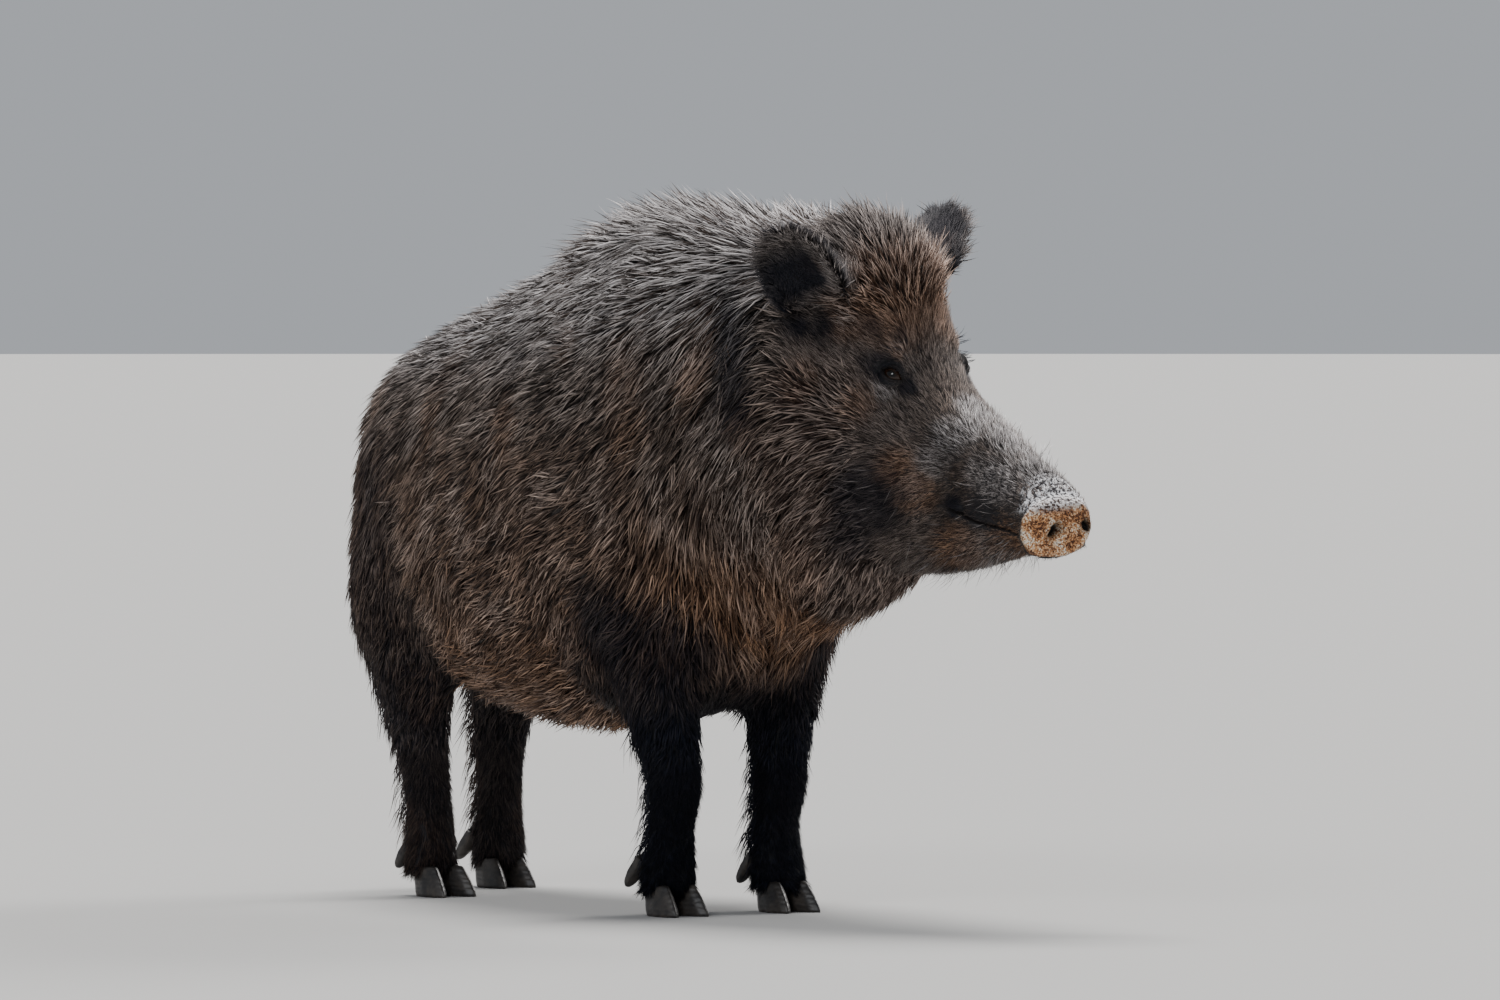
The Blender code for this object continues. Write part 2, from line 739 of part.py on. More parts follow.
snout_disc = disc()
seat(snout_disc, head)
jaw = part_off(head, jaw_tool, "lower_jaw")
for side, out in SIDES.items():
    one_ear = ear(side)
    hollow = ear_hollow(side)
    for holder in (head, neck):
        cut(holder, hollow, "DIFFERENCE")
        seat(one_ear, holder)
    bpy.data.objects.remove(hollow)
    node(one_ear, BLACK_COAT)
    dip = [place + shift for place, shift in zip(EYE, SOCKET_SHIFT)]
    eye_tilt = Matrix.Rotation(HEAD_TURN - out * SOCKET_TURN, 3, "Z")
    eye_tilt = eye_tilt @ Matrix.Rotation(SOCKET_PITCH, 3, "Y")
    socket = ball("socket", head_point(dip[0], out * dip[1], dip[2]), SOCKET, eye_tilt)
    cut(head, socket, "DIFFERENCE")
    bpy.data.objects.remove(socket)
    eye = ball(f"eye_{side}", head_point(EYE[0], out * EYE[1], EYE[2]), (EYE_RADIUS,) * 3)
    seat(eye, head)
    node(eye, EYE_GLOSS)
tail_piece = tail()
seat(tail_piece, body)
body.name = "trunk"
node(body, BROWN_COAT)
node(neck, BROWN_COAT)
node(head, FACE_COAT)
node(jaw, FACE_COAT)
node(snout_disc, SNOUT_SKIN)
node(tail_piece, BLACK_COAT)

# The origin is the middle of the footprint, on the floor.
for made in NODES:
    biggest(made)
corners = np.array([v.co for made in NODES for v in made.data.vertices])
middle = (corners.min(axis=0) + corners.max(axis=0)) / 2
shift = Matrix.Translation((-middle[0], -middle[1], -corners[:, 2].min()))
for made in NODES:
    made.data.transform(shift)
    made.data.update()
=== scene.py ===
"""Wild boar: a life-size museum model in thick winter coat, dressed over the CAD frame.

Row frame, metres: +X along the trunk to the head, +Y the animal's left, +Z up.
"""

import math

import bmesh
import bpy
import numpy as np
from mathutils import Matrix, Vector
from mathutils.kdtree import KDTree


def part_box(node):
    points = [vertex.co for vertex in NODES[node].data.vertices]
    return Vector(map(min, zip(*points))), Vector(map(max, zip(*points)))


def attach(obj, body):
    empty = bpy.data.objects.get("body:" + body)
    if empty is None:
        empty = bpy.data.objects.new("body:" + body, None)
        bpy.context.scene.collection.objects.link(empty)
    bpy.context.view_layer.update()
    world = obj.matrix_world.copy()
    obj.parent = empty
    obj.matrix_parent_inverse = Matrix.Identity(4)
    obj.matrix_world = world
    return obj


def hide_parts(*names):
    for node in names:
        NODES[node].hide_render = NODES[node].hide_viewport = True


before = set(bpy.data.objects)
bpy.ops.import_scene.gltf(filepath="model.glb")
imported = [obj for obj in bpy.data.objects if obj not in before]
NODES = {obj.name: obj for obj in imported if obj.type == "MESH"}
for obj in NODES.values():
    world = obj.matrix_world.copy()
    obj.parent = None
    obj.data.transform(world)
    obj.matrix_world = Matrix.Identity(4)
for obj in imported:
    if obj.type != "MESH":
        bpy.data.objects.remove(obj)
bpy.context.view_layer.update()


# ---- The head's own frame ------------------------------------------------------------
# The eyes are the head's landmarks. Forward, left and up run from the middle of the
# snout disc, and every detail of the face is placed in them.

EYE_FORWARD, EYE_UP = -0.199, 0.175  # from the disc to the middle between the eyes


def middle_of(node):
    low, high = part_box(node)
    return np.array((low + high) / 2)


head_left = middle_of("eye_left") - middle_of("eye_right")
head_left /= np.linalg.norm(head_left)
head_forward = np.array([head_left[1], -head_left[0], 0.0])
head_forward /= np.linalg.norm(head_forward)
head_up = np.cross(head_forward, head_left)
HEAD = np.array([head_forward, head_left, head_up])
between_eyes = (middle_of("eye_left") + middle_of("eye_right")) / 2
SNOUT = between_eyes - head_forward * EYE_FORWARD - head_up * EYE_UP


def in_head(points):
    """Row-frame points as forward, left and up from the snout disc."""
    return (points - SNOUT) @ HEAD.T


def from_head(points):
    return np.asarray(points, float) @ HEAD + SNOUT


def step(x, low, high):
    """0 below low and 1 above high, with a smooth ramp between them."""
    t = np.clip((x - low) / (high - low), 0.0, 1.0)
    return t * t * (3 - 2 * t)


def swell(x, middle, half):
    """1 at the middle, falling smoothly to nothing past about twice that half width."""
    return np.exp(-(((x - middle) / half) ** 2))


def unit(v):
    return v / np.maximum(np.linalg.norm(v, axis=-1, keepdims=True), 1e-9)


def wave(points, size, seed):
    """A smooth pseudo-random value between about -1 and 1, varying over that size."""
    rng = np.random.default_rng(seed)
    total = np.zeros(len(points))
    for _ in range(6):
        way = unit(rng.normal(size=3)) * rng.uniform(0.6, 1.6) * 2 * math.pi / size
        total += np.sin(points @ way + rng.uniform(0, 2 * math.pi))
    return total / 2.6


EYES = {side: middle_of(f"eye_{side}") for side in ("right", "left")}
SIDES = {"right": -1.0, "left": 1.0}
EYE_RADIUS = 0.0125
SLIT_HALF, SLIT_UP, SLIT_DOWN = 12.6, 7.8, 5.8  # half length, rise and drop, millimetres


def lid_axes(side):
    """Outward from one eye, along its slit to the inner corner, and up across it."""
    outward = unit(np.array([0.42, SIDES[side] * 0.82, 0.38])) @ HEAD
    along = np.array([0.94, 0.0, -0.34]) @ HEAD
    along = unit(along - (along @ outward) * outward)
    above = np.cross(outward, along)
    return outward, along, above * np.sign(above[2])


def slit(points, side):
    """Along, up and out from one eye, and how far from the edge of its slit, millimetres."""
    outward, along, above = lid_axes(side)
    off = (points - EYES[side]) * 1000
    x, y, h = off @ along, off @ above, off @ outward
    edge = np.abs(y) - np.where(y > 0, SLIT_UP, SLIT_DOWN) * (1 - (x / SLIT_HALF) ** 2)
    edge = np.where(np.abs(x) > SLIT_HALF, np.maximum(edge, np.abs(x) - SLIT_HALF), edge)
    return x, y, h, np.where(h < -12, 99.0, edge)


def near_slit(points):
    """How far each point is from the edge of the nearer eye's slit, in millimetres."""
    return np.minimum(slit(points, "right")[3], slit(points, "left")[3])


# The mouth's line along the side of the face: forward, and up.
MOUTH = (
    (-0.150, -0.115, -0.085, -0.050, -0.020, 0.000),
    (0.030, 0.021, 0.008, 0.000, -0.010, -0.030),
)


def mouth_line(f, out, u):
    """How far above the line of the mouth a point is, millimetres, and where it has one."""
    off = (u - np.interp(f, *MOUTH)) * 1000
    return off, step(f, -0.150, -0.118) * (1 - step(f, -0.004, 0.006)) * step(out, 0.010, 0.022)


# The snout is mobile, and its disc is turned and shifted a little to the animal's right.
DISC_TURN, DISC_SHIFT = 0.27, 0.003


def unturned(head_points):
    """Forward, left and up of each place as they were before the disc was turned."""
    f, l, u = head_points.T
    share = step(f, -0.045, -0.005)
    l = l + DISC_SHIFT * share
    return f - DISC_TURN * l * share, l, u


# ---- The coat's plan -----------------------------------------------------------------
# One function says, for any place on the animal, which way the hair lies, how long it
# is, how far it stands up, and how black, rusty or pale it is. Skin and coat both ask it.

TRUNK_SHIFT = SNOUT[0] - 0.812  # where the trunk's own lengthwise measurements begin
EAR_SPOTS = {  # each ear's root and tip, and which way its hollow faces
    "right": ((-0.262, -0.084, 0.220), (-0.266, -0.152, 0.350), (0.34, -0.90, -0.25)),
    "left": ((-0.282, 0.078, 0.230), (-0.298, 0.155, 0.342), (-0.05, 0.95, -0.25)),
}
EAR_HALF = (  # share of the way up an ear, and half its width there
    (-0.10, 0.20, 0.40, 0.60, 0.70, 0.85, 1.00),
    (0.033, 0.042, 0.047, 0.045, 0.041, 0.029, 0.010),
)


def ear_share(head_points, side):
    """How far up the ear a point is, 0 at its root and 1 at its tip, its way out from the
    ear's middle line, whether it is on the ear, how near the rim, and how near the rim's
    upper and front edges, which grow long pale hair."""
    root, tip, facing = (np.array(v) for v in EAR_SPOTS[side])
    length = tip - root
    share = (head_points - root) @ length / (length @ length)
    off = head_points - root - share[:, None] * length
    flat = off - (off @ unit(facing))[:, None] * unit(facing)
    edge = np.linalg.norm(flat, axis=1) / np.interp(share, *EAR_HALF)
    here = step(share, 0.22, 0.36) * (1 - step(np.linalg.norm(off, axis=1), 0.060, 0.068))
    rim = here * np.maximum(step(edge, 0.60, 0.92), step(share, 0.80, 0.98))
    outward = unit(flat + 1e-9)
    front_edge = step(edge, 0.35, 0.70) * step(outward[:, 0], 0.3, 0.8)
    shaggy = np.maximum(step(share, 0.62, 0.92), front_edge)
    return share, outward, here, rim, here * shaggy


# Marks of the face: forward, out to either side, up, radius and strength. A few pale and rusty ones
# are partly painted light, as noted above them.
FACE_MARKS = {
    "black": (
        (-0.205, 0.098, 0.040, 0.075, 0.80),
        (-0.235, 0.100, -0.005, 0.060, 0.75),
        (-0.117, 0.056, 0.030, 0.028, 0.95),
        (-0.080, 0.048, 0.020, 0.034, 0.75),
        (-0.200, 0.060, 0.180, 0.029, 0.95),
        (-0.213, 0.069, 0.186, 0.018, 0.70),
        (-0.176, 0.050, 0.160, 0.021, 0.90),
        (-0.264, 0.098, 0.236, 0.042, 1.00),
        (-0.282, 0.106, 0.262, 0.036, 1.00),
        (-0.292, 0.101, 0.233, 0.032, 1.00),
        (-0.203, 0.062, 0.231, 0.028, 0.75),
        (-0.187, 0.040, 0.219, 0.018, 0.60),
        (-0.232, 0.112, 0.098, 0.028, 0.70),
        (-0.155, 0.020, 0.185, 0.030, 0.35),
        (-0.245, 0.080, 0.205, 0.030, 0.35),
    ),
    "rust": (
        (-0.196, 0.034, 0.258, 0.080, 1.00),
        (-0.232, 0.085, 0.238, 0.045, 0.80),
        # Brown hair on the brow over the eye, in part a painted highlight on the bulge of the brow.
        (-0.189, 0.046, 0.199, 0.014, 0.70),
        (-0.169, 0.082, 0.073, 0.034, 0.90),
        (-0.160, 0.066, 0.045, 0.035, 0.85),
        (-0.215, 0.097, 0.142, 0.036, 0.80),
        (-0.283, 0.104, 0.164, 0.040, 0.65),
        (-0.120, 0.045, -0.022, 0.045, 0.80),
        (-0.050, 0.030, -0.018, 0.050, 0.90),
        (-0.340, 0.120, -0.035, 0.110, 0.85),
        (-0.258, 0.104, 0.302, 0.020, 0.60),
    ),
    "pale": (
        (-0.194, 0.067, 0.154, 0.022, 0.55),
        # Pale on the brow over the eye, in part a painted highlight on the bulge of the brow.
        (-0.188, 0.045, 0.201, 0.012, 0.35),
        (-0.171, 0.037, 0.176, 0.014, 0.35),
        # Along the ridge of the muzzle: pale hair, and in part a painted highlight where light
        # falls along the ridge.
        (-0.113, 0.000, 0.134, 0.040, 1.20),
        (-0.065, 0.000, 0.103, 0.042, 1.60),
        (-0.022, 0.000, 0.068, 0.040, 1.60),
        (-0.104, 0.030, 0.115, 0.034, 0.95),
        (-0.122, 0.046, 0.104, 0.034, 0.90),
        (-0.138, 0.058, 0.080, 0.030, 0.60),
        (-0.055, 0.040, 0.060, 0.040, 0.85),
        (-0.080, 0.047, 0.070, 0.030, 0.55),
        (-0.027, 0.038, 0.036, 0.030, 0.25),
        (-0.160, 0.070, 0.050, 0.030, 0.30),
        # Under the chin: pale hair, and in part painted light bouncing up from below.
        (-0.090, 0.030, -0.036, 0.060, 0.30),
        (-0.260, 0.110, 0.020, 0.060, 0.25),
        (-0.231, 0.083, 0.240, 0.030, 0.60),
        (-0.258, 0.104, 0.302, 0.020, 0.30),
    ),
}


def spots(f, out, u, marks):
    """The strongest of several soft round marks at each point."""
    best = np.zeros(len(f))
    for mf, mo, mu, reach, share in marks:
        off = np.sqrt((f - mf) ** 2 + (out - mo) ** 2 + (u - mu) ** 2)
        best = np.maximum(best, share * (1 - step(off, 0.35 * reach, reach)))
    return best


def plan(points, normals):
    """Everything the coat needs to know at each point, as a dict of arrays."""
    x, y, z = points[:, 0] - TRUNK_SHIFT, points[:, 1], points[:, 2]
    f, l, u = unturned(in_head(points))
    out = np.abs(l)
    nx, nz = normals[:, 0], normals[:, 2]
    hn = normals @ HEAD.T
    side = np.sign(y + 1e-9)

    head = step(f, -0.36, -0.29) * step(u, -0.20, -0.13)
    ear = np.zeros(len(points))
    hollow = np.zeros(len(points))
    fringe = np.zeros(len(points))
    shaggy = np.zeros(len(points))
    ears = {name: ear_share(in_head(points), name) for name in SIDES}
    for name, (_, _, here, rim, long) in ears.items():
        facing = unit(np.array(EAR_SPOTS[name][2]))
        ear = np.maximum(ear, here)
        fringe = np.maximum(fringe, rim)
        shaggy = np.maximum(shaggy, long * step(hn @ facing, -0.5, 0.0))
        inner = here * (1 - rim) * (1 - 0.7 * long) * step(hn @ facing, 0.0, 0.35)
        hollow = np.maximum(hollow, inner)
    fore = (1 - step(np.abs(x - 0.262), 0.085, 0.13)) * (1 - step(z, 0.22, 0.38))
    hind = (1 - step(np.abs(x + 0.285), 0.13, 0.19)) * (1 - step(z, 0.24, 0.50))
    leg = np.maximum(np.maximum(fore, hind), 1 - step(z, 0.17, 0.205))
    foot = 1 - step(z, 0.10, 0.24)
    tail = (1 - step(x, -0.425, -0.405)) * (1 - step(np.abs(y - 0.018), 0.03, 0.05))
    feather = leg * step(-nx, 0.20, 0.75) * step(z, 0.05, 0.09) * (1 - step(z, 0.30, 0.42))

    spine = (1 - step(np.abs(y), 0.03, 0.10)) * step(nz, 0.45, 0.85) * (1 - head)
    crest = spine * step(x, -0.20, 0.06)
    top = step(nz, 0.10, 0.70)
    under = step(-nz, 0.35, 0.8) * (1 - head) * (1 - leg)
    neck = step(x, 0.28, 0.42) * (1 - head)
    chest = step(x, 0.24, 0.36) * (1 - step(z, 0.38, 0.52)) * (1 - head) * (1 - leg)
    rear = 1 - step(x, -0.32, 0.16)
    rump = 1 - step(x, -0.38, -0.22)
    thigh = (1 - step(x, -0.22, -0.12)) * (1 - step(z, 0.50, 0.62))
    crown = step(u, 0.20, 0.29) * step(f, -0.40, -0.30)
    jowl = (1 - step(f, -0.26, -0.17)) * (1 - step(u, 0.12, 0.24))
    muzzle = step(f, -0.20, -0.10)
    ridge = head * step(hn[:, 2], 0.45, 0.80) * step(f, -0.17, -0.10) * (1 - step(out, 0.02, 0.05))
    near_disc = step(f, -0.036, -0.010) * head

    # Lie of the coat.
    def lean(a, b, share):
        return a + (np.asarray(b) - a) * share[:, None]

    lie = np.tile([-1.0, 0.0, -1.05], (len(points), 1))
    lie[:, 2] -= 0.40 * rear
    lie[:, 1] += 0.20 * side * top
    lie[:, 2] += (0.35 + 0.35 * rear) * top
    lie = lean(lie, [-1.0, 0.0, -0.10], spine)
    lie = lean(lie, [-0.75, 0.0, -1.10], neck * (1 - top))
    lie = lean(lie, [-0.30, 0.0, -1.0], rump * (1 - spine))
    lie = lean(lie, [-0.40, 0.0, -1.0], thigh)
    lie = lean(lie, [-1.0, 0.0, -0.25], under)
    lie = lean(lie, [-0.25, 0.0, -1.0], chest)
    lie = lean(lie, [-0.16, 0.0, -1.0], leg)
    lie = lean(lie, [-0.45, 0.0, -1.0], feather)
    lie = lean(lie, [-0.25, 0.05, -1.0], tail)
    aside = 0.25 * np.sign(l) * step(out, 0.01, 0.05)
    face = np.stack([-np.ones_like(f), aside, np.zeros_like(f)], 1)
    face[:, 2] = -0.18 + 0.95 * step(u + 0.45 * f, -0.015, 0.05)
    face[:, 2] -= 0.35 * step(u, 0.26, 0.34)
    face[:, 2] -= 0.85 * (1 - step(f, -0.28, -0.17)) * (1 - step(u, 0.04, 0.20))
    face[:, 2] -= 0.50 * (1 - step(u, -0.035, -0.01))
    lie = lie * (1 - head)[:, None] + (face @ HEAD) * head[:, None]
    for name, (_, outward, here, rim, _) in ears.items():
        root, tip, facing = (np.array(v) for v in EAR_SPOTS[name])
        along = unit(tip - root) - 0.25 * hollow[:, None] * unit(facing)
        along = along + 0.8 * rim[:, None] * outward
        lie = lie * (1 - here)[:, None] + (along @ HEAD) * here[:, None]
    swirl = 0.30 * wave(points, 0.16, 3)[:, None] + 0.14 * wave(points, 0.05, 4)[:, None]
    lie = unit(lie) + swirl * unit(np.cross(normals, lie)) * (1 - 0.4 * head - 0.4 * leg)[:, None]
    lie = unit(lie - (lie * normals).sum(1, keepdims=True) * normals)

    # Length in millimetres, lift in degrees, and width in millimetres of a tuft.
    def toward(now, value, share):
        return now + (value - now) * share

    length = 34.0 + 5 * top + 12 * neck
    lift = 15.0 + 3 * neck
    wide = np.full(len(points), 2.0)
    length = toward(length, 54, crest)
    lift = toward(lift, 30, crest)
    length = toward(length, 42, under)
    lift = toward(lift, 20, under)
    length = toward(length, 54, chest)
    lift = toward(lift, 26, chest)
    length = toward(length, 32, rump * (1 - spine))
    length = toward(length, 27 - 10 * foot, leg)
    lift = toward(lift, 13, leg)
    wide = toward(wide, 1.7 - 0.2 * foot, leg)
    length = toward(length, 44, feather)
    lift = toward(lift, 27, feather)
    length = toward(length, 26 + 14 * (1 - step(z, 0.30, 0.38)), tail)
    lift = toward(lift, 12, tail)
    length = toward(length, 15 + 21 * crown + 19 * jowl - 5 * muzzle, head)
    lift = toward(lift, 15 + 25 * crown + 9 * jowl, head)
    wide = toward(wide, 1.1 + 0.3 * crown + 0.7 * jowl, head)
    length = toward(length, 24, head * (1 - step(u, -0.055, -0.025)) * (1 - step(f, -0.09, -0.05)))
    length = toward(length, 13, ridge)
    lift = toward(lift, 42, ridge)
    length = toward(length, 6, near_disc)
    length = toward(length, 15 - 3 * hollow + 4 * fringe + 5 * shaggy, ear)
    lift = toward(lift, 15 + 13 * fringe, ear)
    wide = toward(wide, 1.2, ear)
    lid = near_slit(points)
    near_eye = 1 - step(lid, 5.0, 18.0)
    length = toward(length, 4.5, near_eye)
    lift = toward(lift, 12, near_eye)
    wide = toward(wide, 0.8, near_eye)
    off, mouth = mouth_line(f, out, u)
    lip = mouth * (1 - step(np.abs(off), 4.0, 11.0)) * head
    snub = np.maximum(lip, head * spots(f, out, u, ((-0.068, 0.045, 0.035, 0.055, 1.0),)))
    length = toward(length, 7, snub)
    lift = toward(lift, 9, snub)
    wide = toward(wide, 1.0, snub)

    depth = 0.0010 + 0.00125 * length * np.sin(np.radians(lift))
    depth = toward(depth, 0.0160, head * crown)
    depth = toward(depth, 0.0040, feather)
    depth = toward(depth, 0.0015, ear)
    depth = toward(depth, 0.0010, near_disc)
    depth = toward(depth, 0.0020, near_eye)

    dense = 1.0 - 0.12 * under + 0.5 * leg + 1.0 * head - 0.4 * head * jowl + 0.2 * head * crown
    dense = toward(dense, 2.6 + 1.4 * fringe, ear) - 0.4 * hollow
    dense = toward(dense, 1.8, tail)
    bare = np.maximum(step(f, 0.000, 0.004) * head, 1 - step(lid, 1.8, 3.2))
    bare = np.maximum(bare, mouth * head * (1 - step(np.abs(off), 1.5, 2.8)))
    bare = np.maximum(bare, 1 - step(z, 0.018, 0.026))
    dense *= 1 - bare
    burrow = head * (1 - ear) * spots(f, out, u, ((-0.272, 0.100, 0.244, 0.042, 1.0),))
    dense *= (1 - 0.6 * burrow) * (1 - 0.50 * near_disc)
    length = toward(length, 14, burrow)

    # Markings. Part of the pale is painted light: a painted highlight along the top of the back,
    # and some face marks, as noted in their table.
    blotch = 0.5 + 0.5 * np.clip(wave(points, 0.09, 14), -1, 1)
    furrow = 1 - step(np.abs(x - 0.485 + 0.25 * (z - 0.62)), 0.012, 0.036)
    furrow *= step(z, 0.54, 0.60) * step(np.abs(y), 0.06, 0.10) * (1 - ear)
    elbow = 1 - step(np.hypot((x - 0.290) * 0.9, (z - 0.315)), 0.055, 0.115)
    mane = 1 - step(np.hypot((x - 0.425) / 0.034, (z - 0.665) / 0.090), 0.4, 1.0)
    black = np.maximum.reduce([
        (1 - step(z, 0.30, 0.43)) * fore,
        (1 - 0.26 * hind) * (1 - step(z, 0.28, 0.42)) * leg,
        0.72 * (1 - step(z, 0.30, 0.56)) * hind,
        0.86 * elbow * step(np.abs(y), 0.03, 0.09),
        ear * (0.88 + 0.08 * hollow - 0.66 * shaggy),
        (0.16 + 0.14 * jowl) * head,
        0.80 * furrow,
        0.60 * thigh,
        head * spots(f, out, u, FACE_MARKS["black"]),
        0.9 * (1 - step(z, 0.30, 0.40)) * tail,
        0.20 * step(blotch, 0.55, 0.95) * (1 - head),
    ])
    rust = np.maximum.reduce([
        spots(f, out, u, FACE_MARKS["rust"]) * np.maximum(head, chest),
        0.95 * chest,
        0.75 * (1 - step(z, 0.28, 0.46)) * (1 - leg) * (1 - head),
        0.40 * jowl * head,
        0.55 * mane,
        0.35 * (1 - step(z, 0.42, 0.62)) * (1 - leg) * (1 - head),
        0.32 * step(wave(points, 0.13, 15), 0.1, 0.9) * (1 - head),
    ])
    pale = np.maximum.reduce([
        # Pale grey tips along the top of the back, strongest where the coat faces up: grizzled hair
        # in part, and in part a painted highlight of light falling on the back.
        1.50 * step(nz, -0.10, 0.85) * step(z, 0.56, 0.72) * (1 - head) * (1 - leg),
        1.20 * step(z, 0.60, 0.80) * (1 - step(x, 0.28, 0.42)) * (1 - head),
        0.40 * step(z, 0.60, 0.76) * (1 - head) * (1 - furrow) * (1 - ear),
        head * spots(f, out, u, FACE_MARKS["pale"]),
        0.34 * crown * head,
        0.32 * step(x, 0.38, 0.48) * step(z, 0.38, 0.46) * (1 - head) * (1 - furrow),
        (0.18 * (1 - muzzle) + 0.10 * jowl) * head,
        0.42 * shaggy,
        0.25 * (1 - blotch) * (1 - head) * (1 - leg),
    ])
    return dict(
        lie=lie, length=length * 0.001, lift=np.radians(lift), wide=wide * 0.001, depth=depth,
        dense=np.clip(dense, 0.0, 4.0), marks=np.stack([black, rust, pale], 1),
        head=head, ear=ear, leg=leg, tail=tail, hollow=hollow,
    )


# ---- Skin ----------------------------------------------------------------------------
# One seamless hide over head, neck, trunk, legs, ears and tail. It lies inside the
# flesh solids by the depth of the coat, and carries lids, nostrils, lips and wrinkles.

HORN = ("eye_", "hoof_", "dewclaw_")
FLESH = sorted(n for n in NODES if not n.startswith(HORN))
SKIN_VOXEL = 0.004
OVERLAP = 0.0008  # each solid grows by this, so that neighbours join
FACES_KEPT = 0.42  # of all the skin's; those that go are the body's


def placed(name, data):
    made = bpy.data.objects.new(name, data)
    bpy.context.scene.collection.objects.link(made)
    return made


def mesh_object(name, form):
    mesh = bpy.data.meshes.new(name)
    form.to_mesh(mesh)
    form.free()
    return placed(name, mesh)


def apply_modifiers(target):
    graph = bpy.context.evaluated_depsgraph_get()
    mesh = bpy.data.meshes.new_from_object(target.evaluated_get(graph))
    target.modifiers.clear()
    target.data = mesh


def remesh(target, voxel):
    """Makes one even surface of closed forms that overlap."""
    modifier = target.modifiers.new("remesh", "REMESH")
    modifier.mode = "VOXEL"
    modifier.voxel_size = voxel
    apply_modifiers(target)


def rows_of(items, key, width=3, kind=float):
    """A row of numbers from each vertex, edge or triangle."""
    values = np.empty(len(items) * width, kind)
    items.foreach_get(key, values)
    return values.reshape(-1, width)


def points_of(mesh):
    return rows_of(mesh.vertices, "co")


def normals_of(mesh):
    return rows_of(mesh.vertex_normals, "vector")


def set_points(mesh, co):
    mesh.vertices.foreach_set("co", np.ascontiguousarray(co).ravel())
    mesh.update()


def edges_of(mesh):
    return rows_of(mesh.edges, "vertices", 2, np.int32)


def relax(co, edges, share, rounds):
    """Moves each point that share of the way to the middle of its neighbours, often."""
    count = len(co)
    degree = np.bincount(edges.ravel(), minlength=count)
    share = np.broadcast_to(share, (count,))[:, None]
    for _ in range(rounds):
        total = np.stack([
            np.bincount(edges[:, 0], co[edges[:, 1], k], count)
            + np.bincount(edges[:, 1], co[edges[:, 0], k], count)
            for k in range(3)
        ], 1)
        co = co + share * (total / degree[:, None] - co)
    return co


joined = bmesh.new()
for node in FLESH:
    part = bmesh.new()
    part.from_mesh(NODES[node].data)
    bmesh.ops.remove_doubles(part, verts=part.verts, dist=1e-6)
    part.normal_update()
    for vertex in part.verts:
        vertex.co += vertex.normal * OVERLAP
    grown = bpy.data.meshes.new("grown")
    part.to_mesh(grown)
    part.free()
    joined.from_mesh(grown)
    bpy.data.meshes.remove(grown)
skin = mesh_object("skin", joined)
remesh(skin, SKIN_VOXEL)

co = points_of(skin.data)
edges = edges_of(skin.data)
look = plan(co, normals_of(skin.data))
f, l, u = in_head(co).T
fine = np.maximum(look["ear"], step(f, -0.05, 0.0) * look["head"])
fine = np.maximum(fine, look["tail"])
co = relax(co, edges, 0.5 * (1 - 0.8 * fine) * (1 - 0.5 * look["leg"]), 50)
set_points(skin.data, co)
look = plan(co, normals_of(skin.data))
depth = relax(look["depth"][:, None] * np.ones(3), edges, 0.5, 12)[:, :1]
co = co - normals_of(skin.data) * depth
co = relax(co, edges, 0.4 * (1 - 0.8 * fine), 10)
set_points(skin.data, co)

# The body keeps fewer faces than head and ears.
body_group = skin.vertex_groups.new(name="thin")
look = plan(co, normals_of(skin.data))
coarse = np.clip(1 - look["head"] - look["ear"], 0, 1)
for level in (0.25, 0.5, 0.75, 1.0):
    chosen = np.nonzero((coarse > level - 0.25) & (coarse <= level))[0]
    body_group.add(chosen.tolist(), level, "REPLACE")
thin = skin.modifiers.new("thin", "DECIMATE")
thin.vertex_group = "thin"
thin.ratio = FACES_KEPT
apply_modifiers(skin)
skin.vertex_groups.clear()

# Finer mesh round the eyes, over the snout disc and along the lips.
DISC_MIDDLE = from_head([0.012, 0, -0.002])


def near_detail(points, reach):
    """Which points are near fine detail of the face."""
    f, l, u = in_head(points).T
    close = (np.linalg.norm(points - DISC_MIDDLE, axis=1) < 0.052 * reach) & (f > -0.02)
    for eye in EYES.values():
        close |= np.linalg.norm(points - eye, axis=1) < 0.030 * reach
    lip = np.abs(u - np.interp(f, *MOUTH)) < 0.008 * reach
    return close | (lip & (f > -0.150) & (f < 0.004) & (np.abs(l) > 0.012))


def refine(target, near, rounds):
    form = bmesh.new()
    form.from_mesh(target.data)
    bmesh.ops.triangulate(form, faces=form.faces)
    for reach in rounds:
        form.verts.index_update()
        close = near(np.array([vert.co for vert in form.verts]), reach)
        chosen = [e for e in form.edges if close[e.verts[0].index] or close[e.verts[1].index]]
        bmesh.ops.subdivide_edges(form, edges=chosen, cuts=1, use_grid_fill=True)
        bmesh.ops.triangulate(form, faces=[q for q in form.faces if len(q.verts) > 3])
    form.to_mesh(target.data)
    form.free()


refine(skin, near_detail, (1.0, 0.8))

co = points_of(skin.data)
edges = edges_of(skin.data)
f, l, u = in_head(co).T
detail = 1 - step(np.linalg.norm(co - DISC_MIDDLE, axis=1), 0.04, 0.06)
co = relax(co, edges, 0.3 * step(f, -0.30, -0.25) * (1 - 0.5 * detail), 4)


# Folds of the lids, millimetres: on the upper lid (1), the lower one (-1) or both (0), how
# far a fold stands out, how far it lies from the edge of the slit, and half its width.
LID_FOLDS = (
    (0, 1.3, 1.4, 1.1),
    (1, -2.0, 4.6, 1.3),
    (1, 1.6, 7.5, 2.4),
    (-1, 1.5, 6.5, 2.4),
    (-1, -1.4, 10.0, 1.6),
)


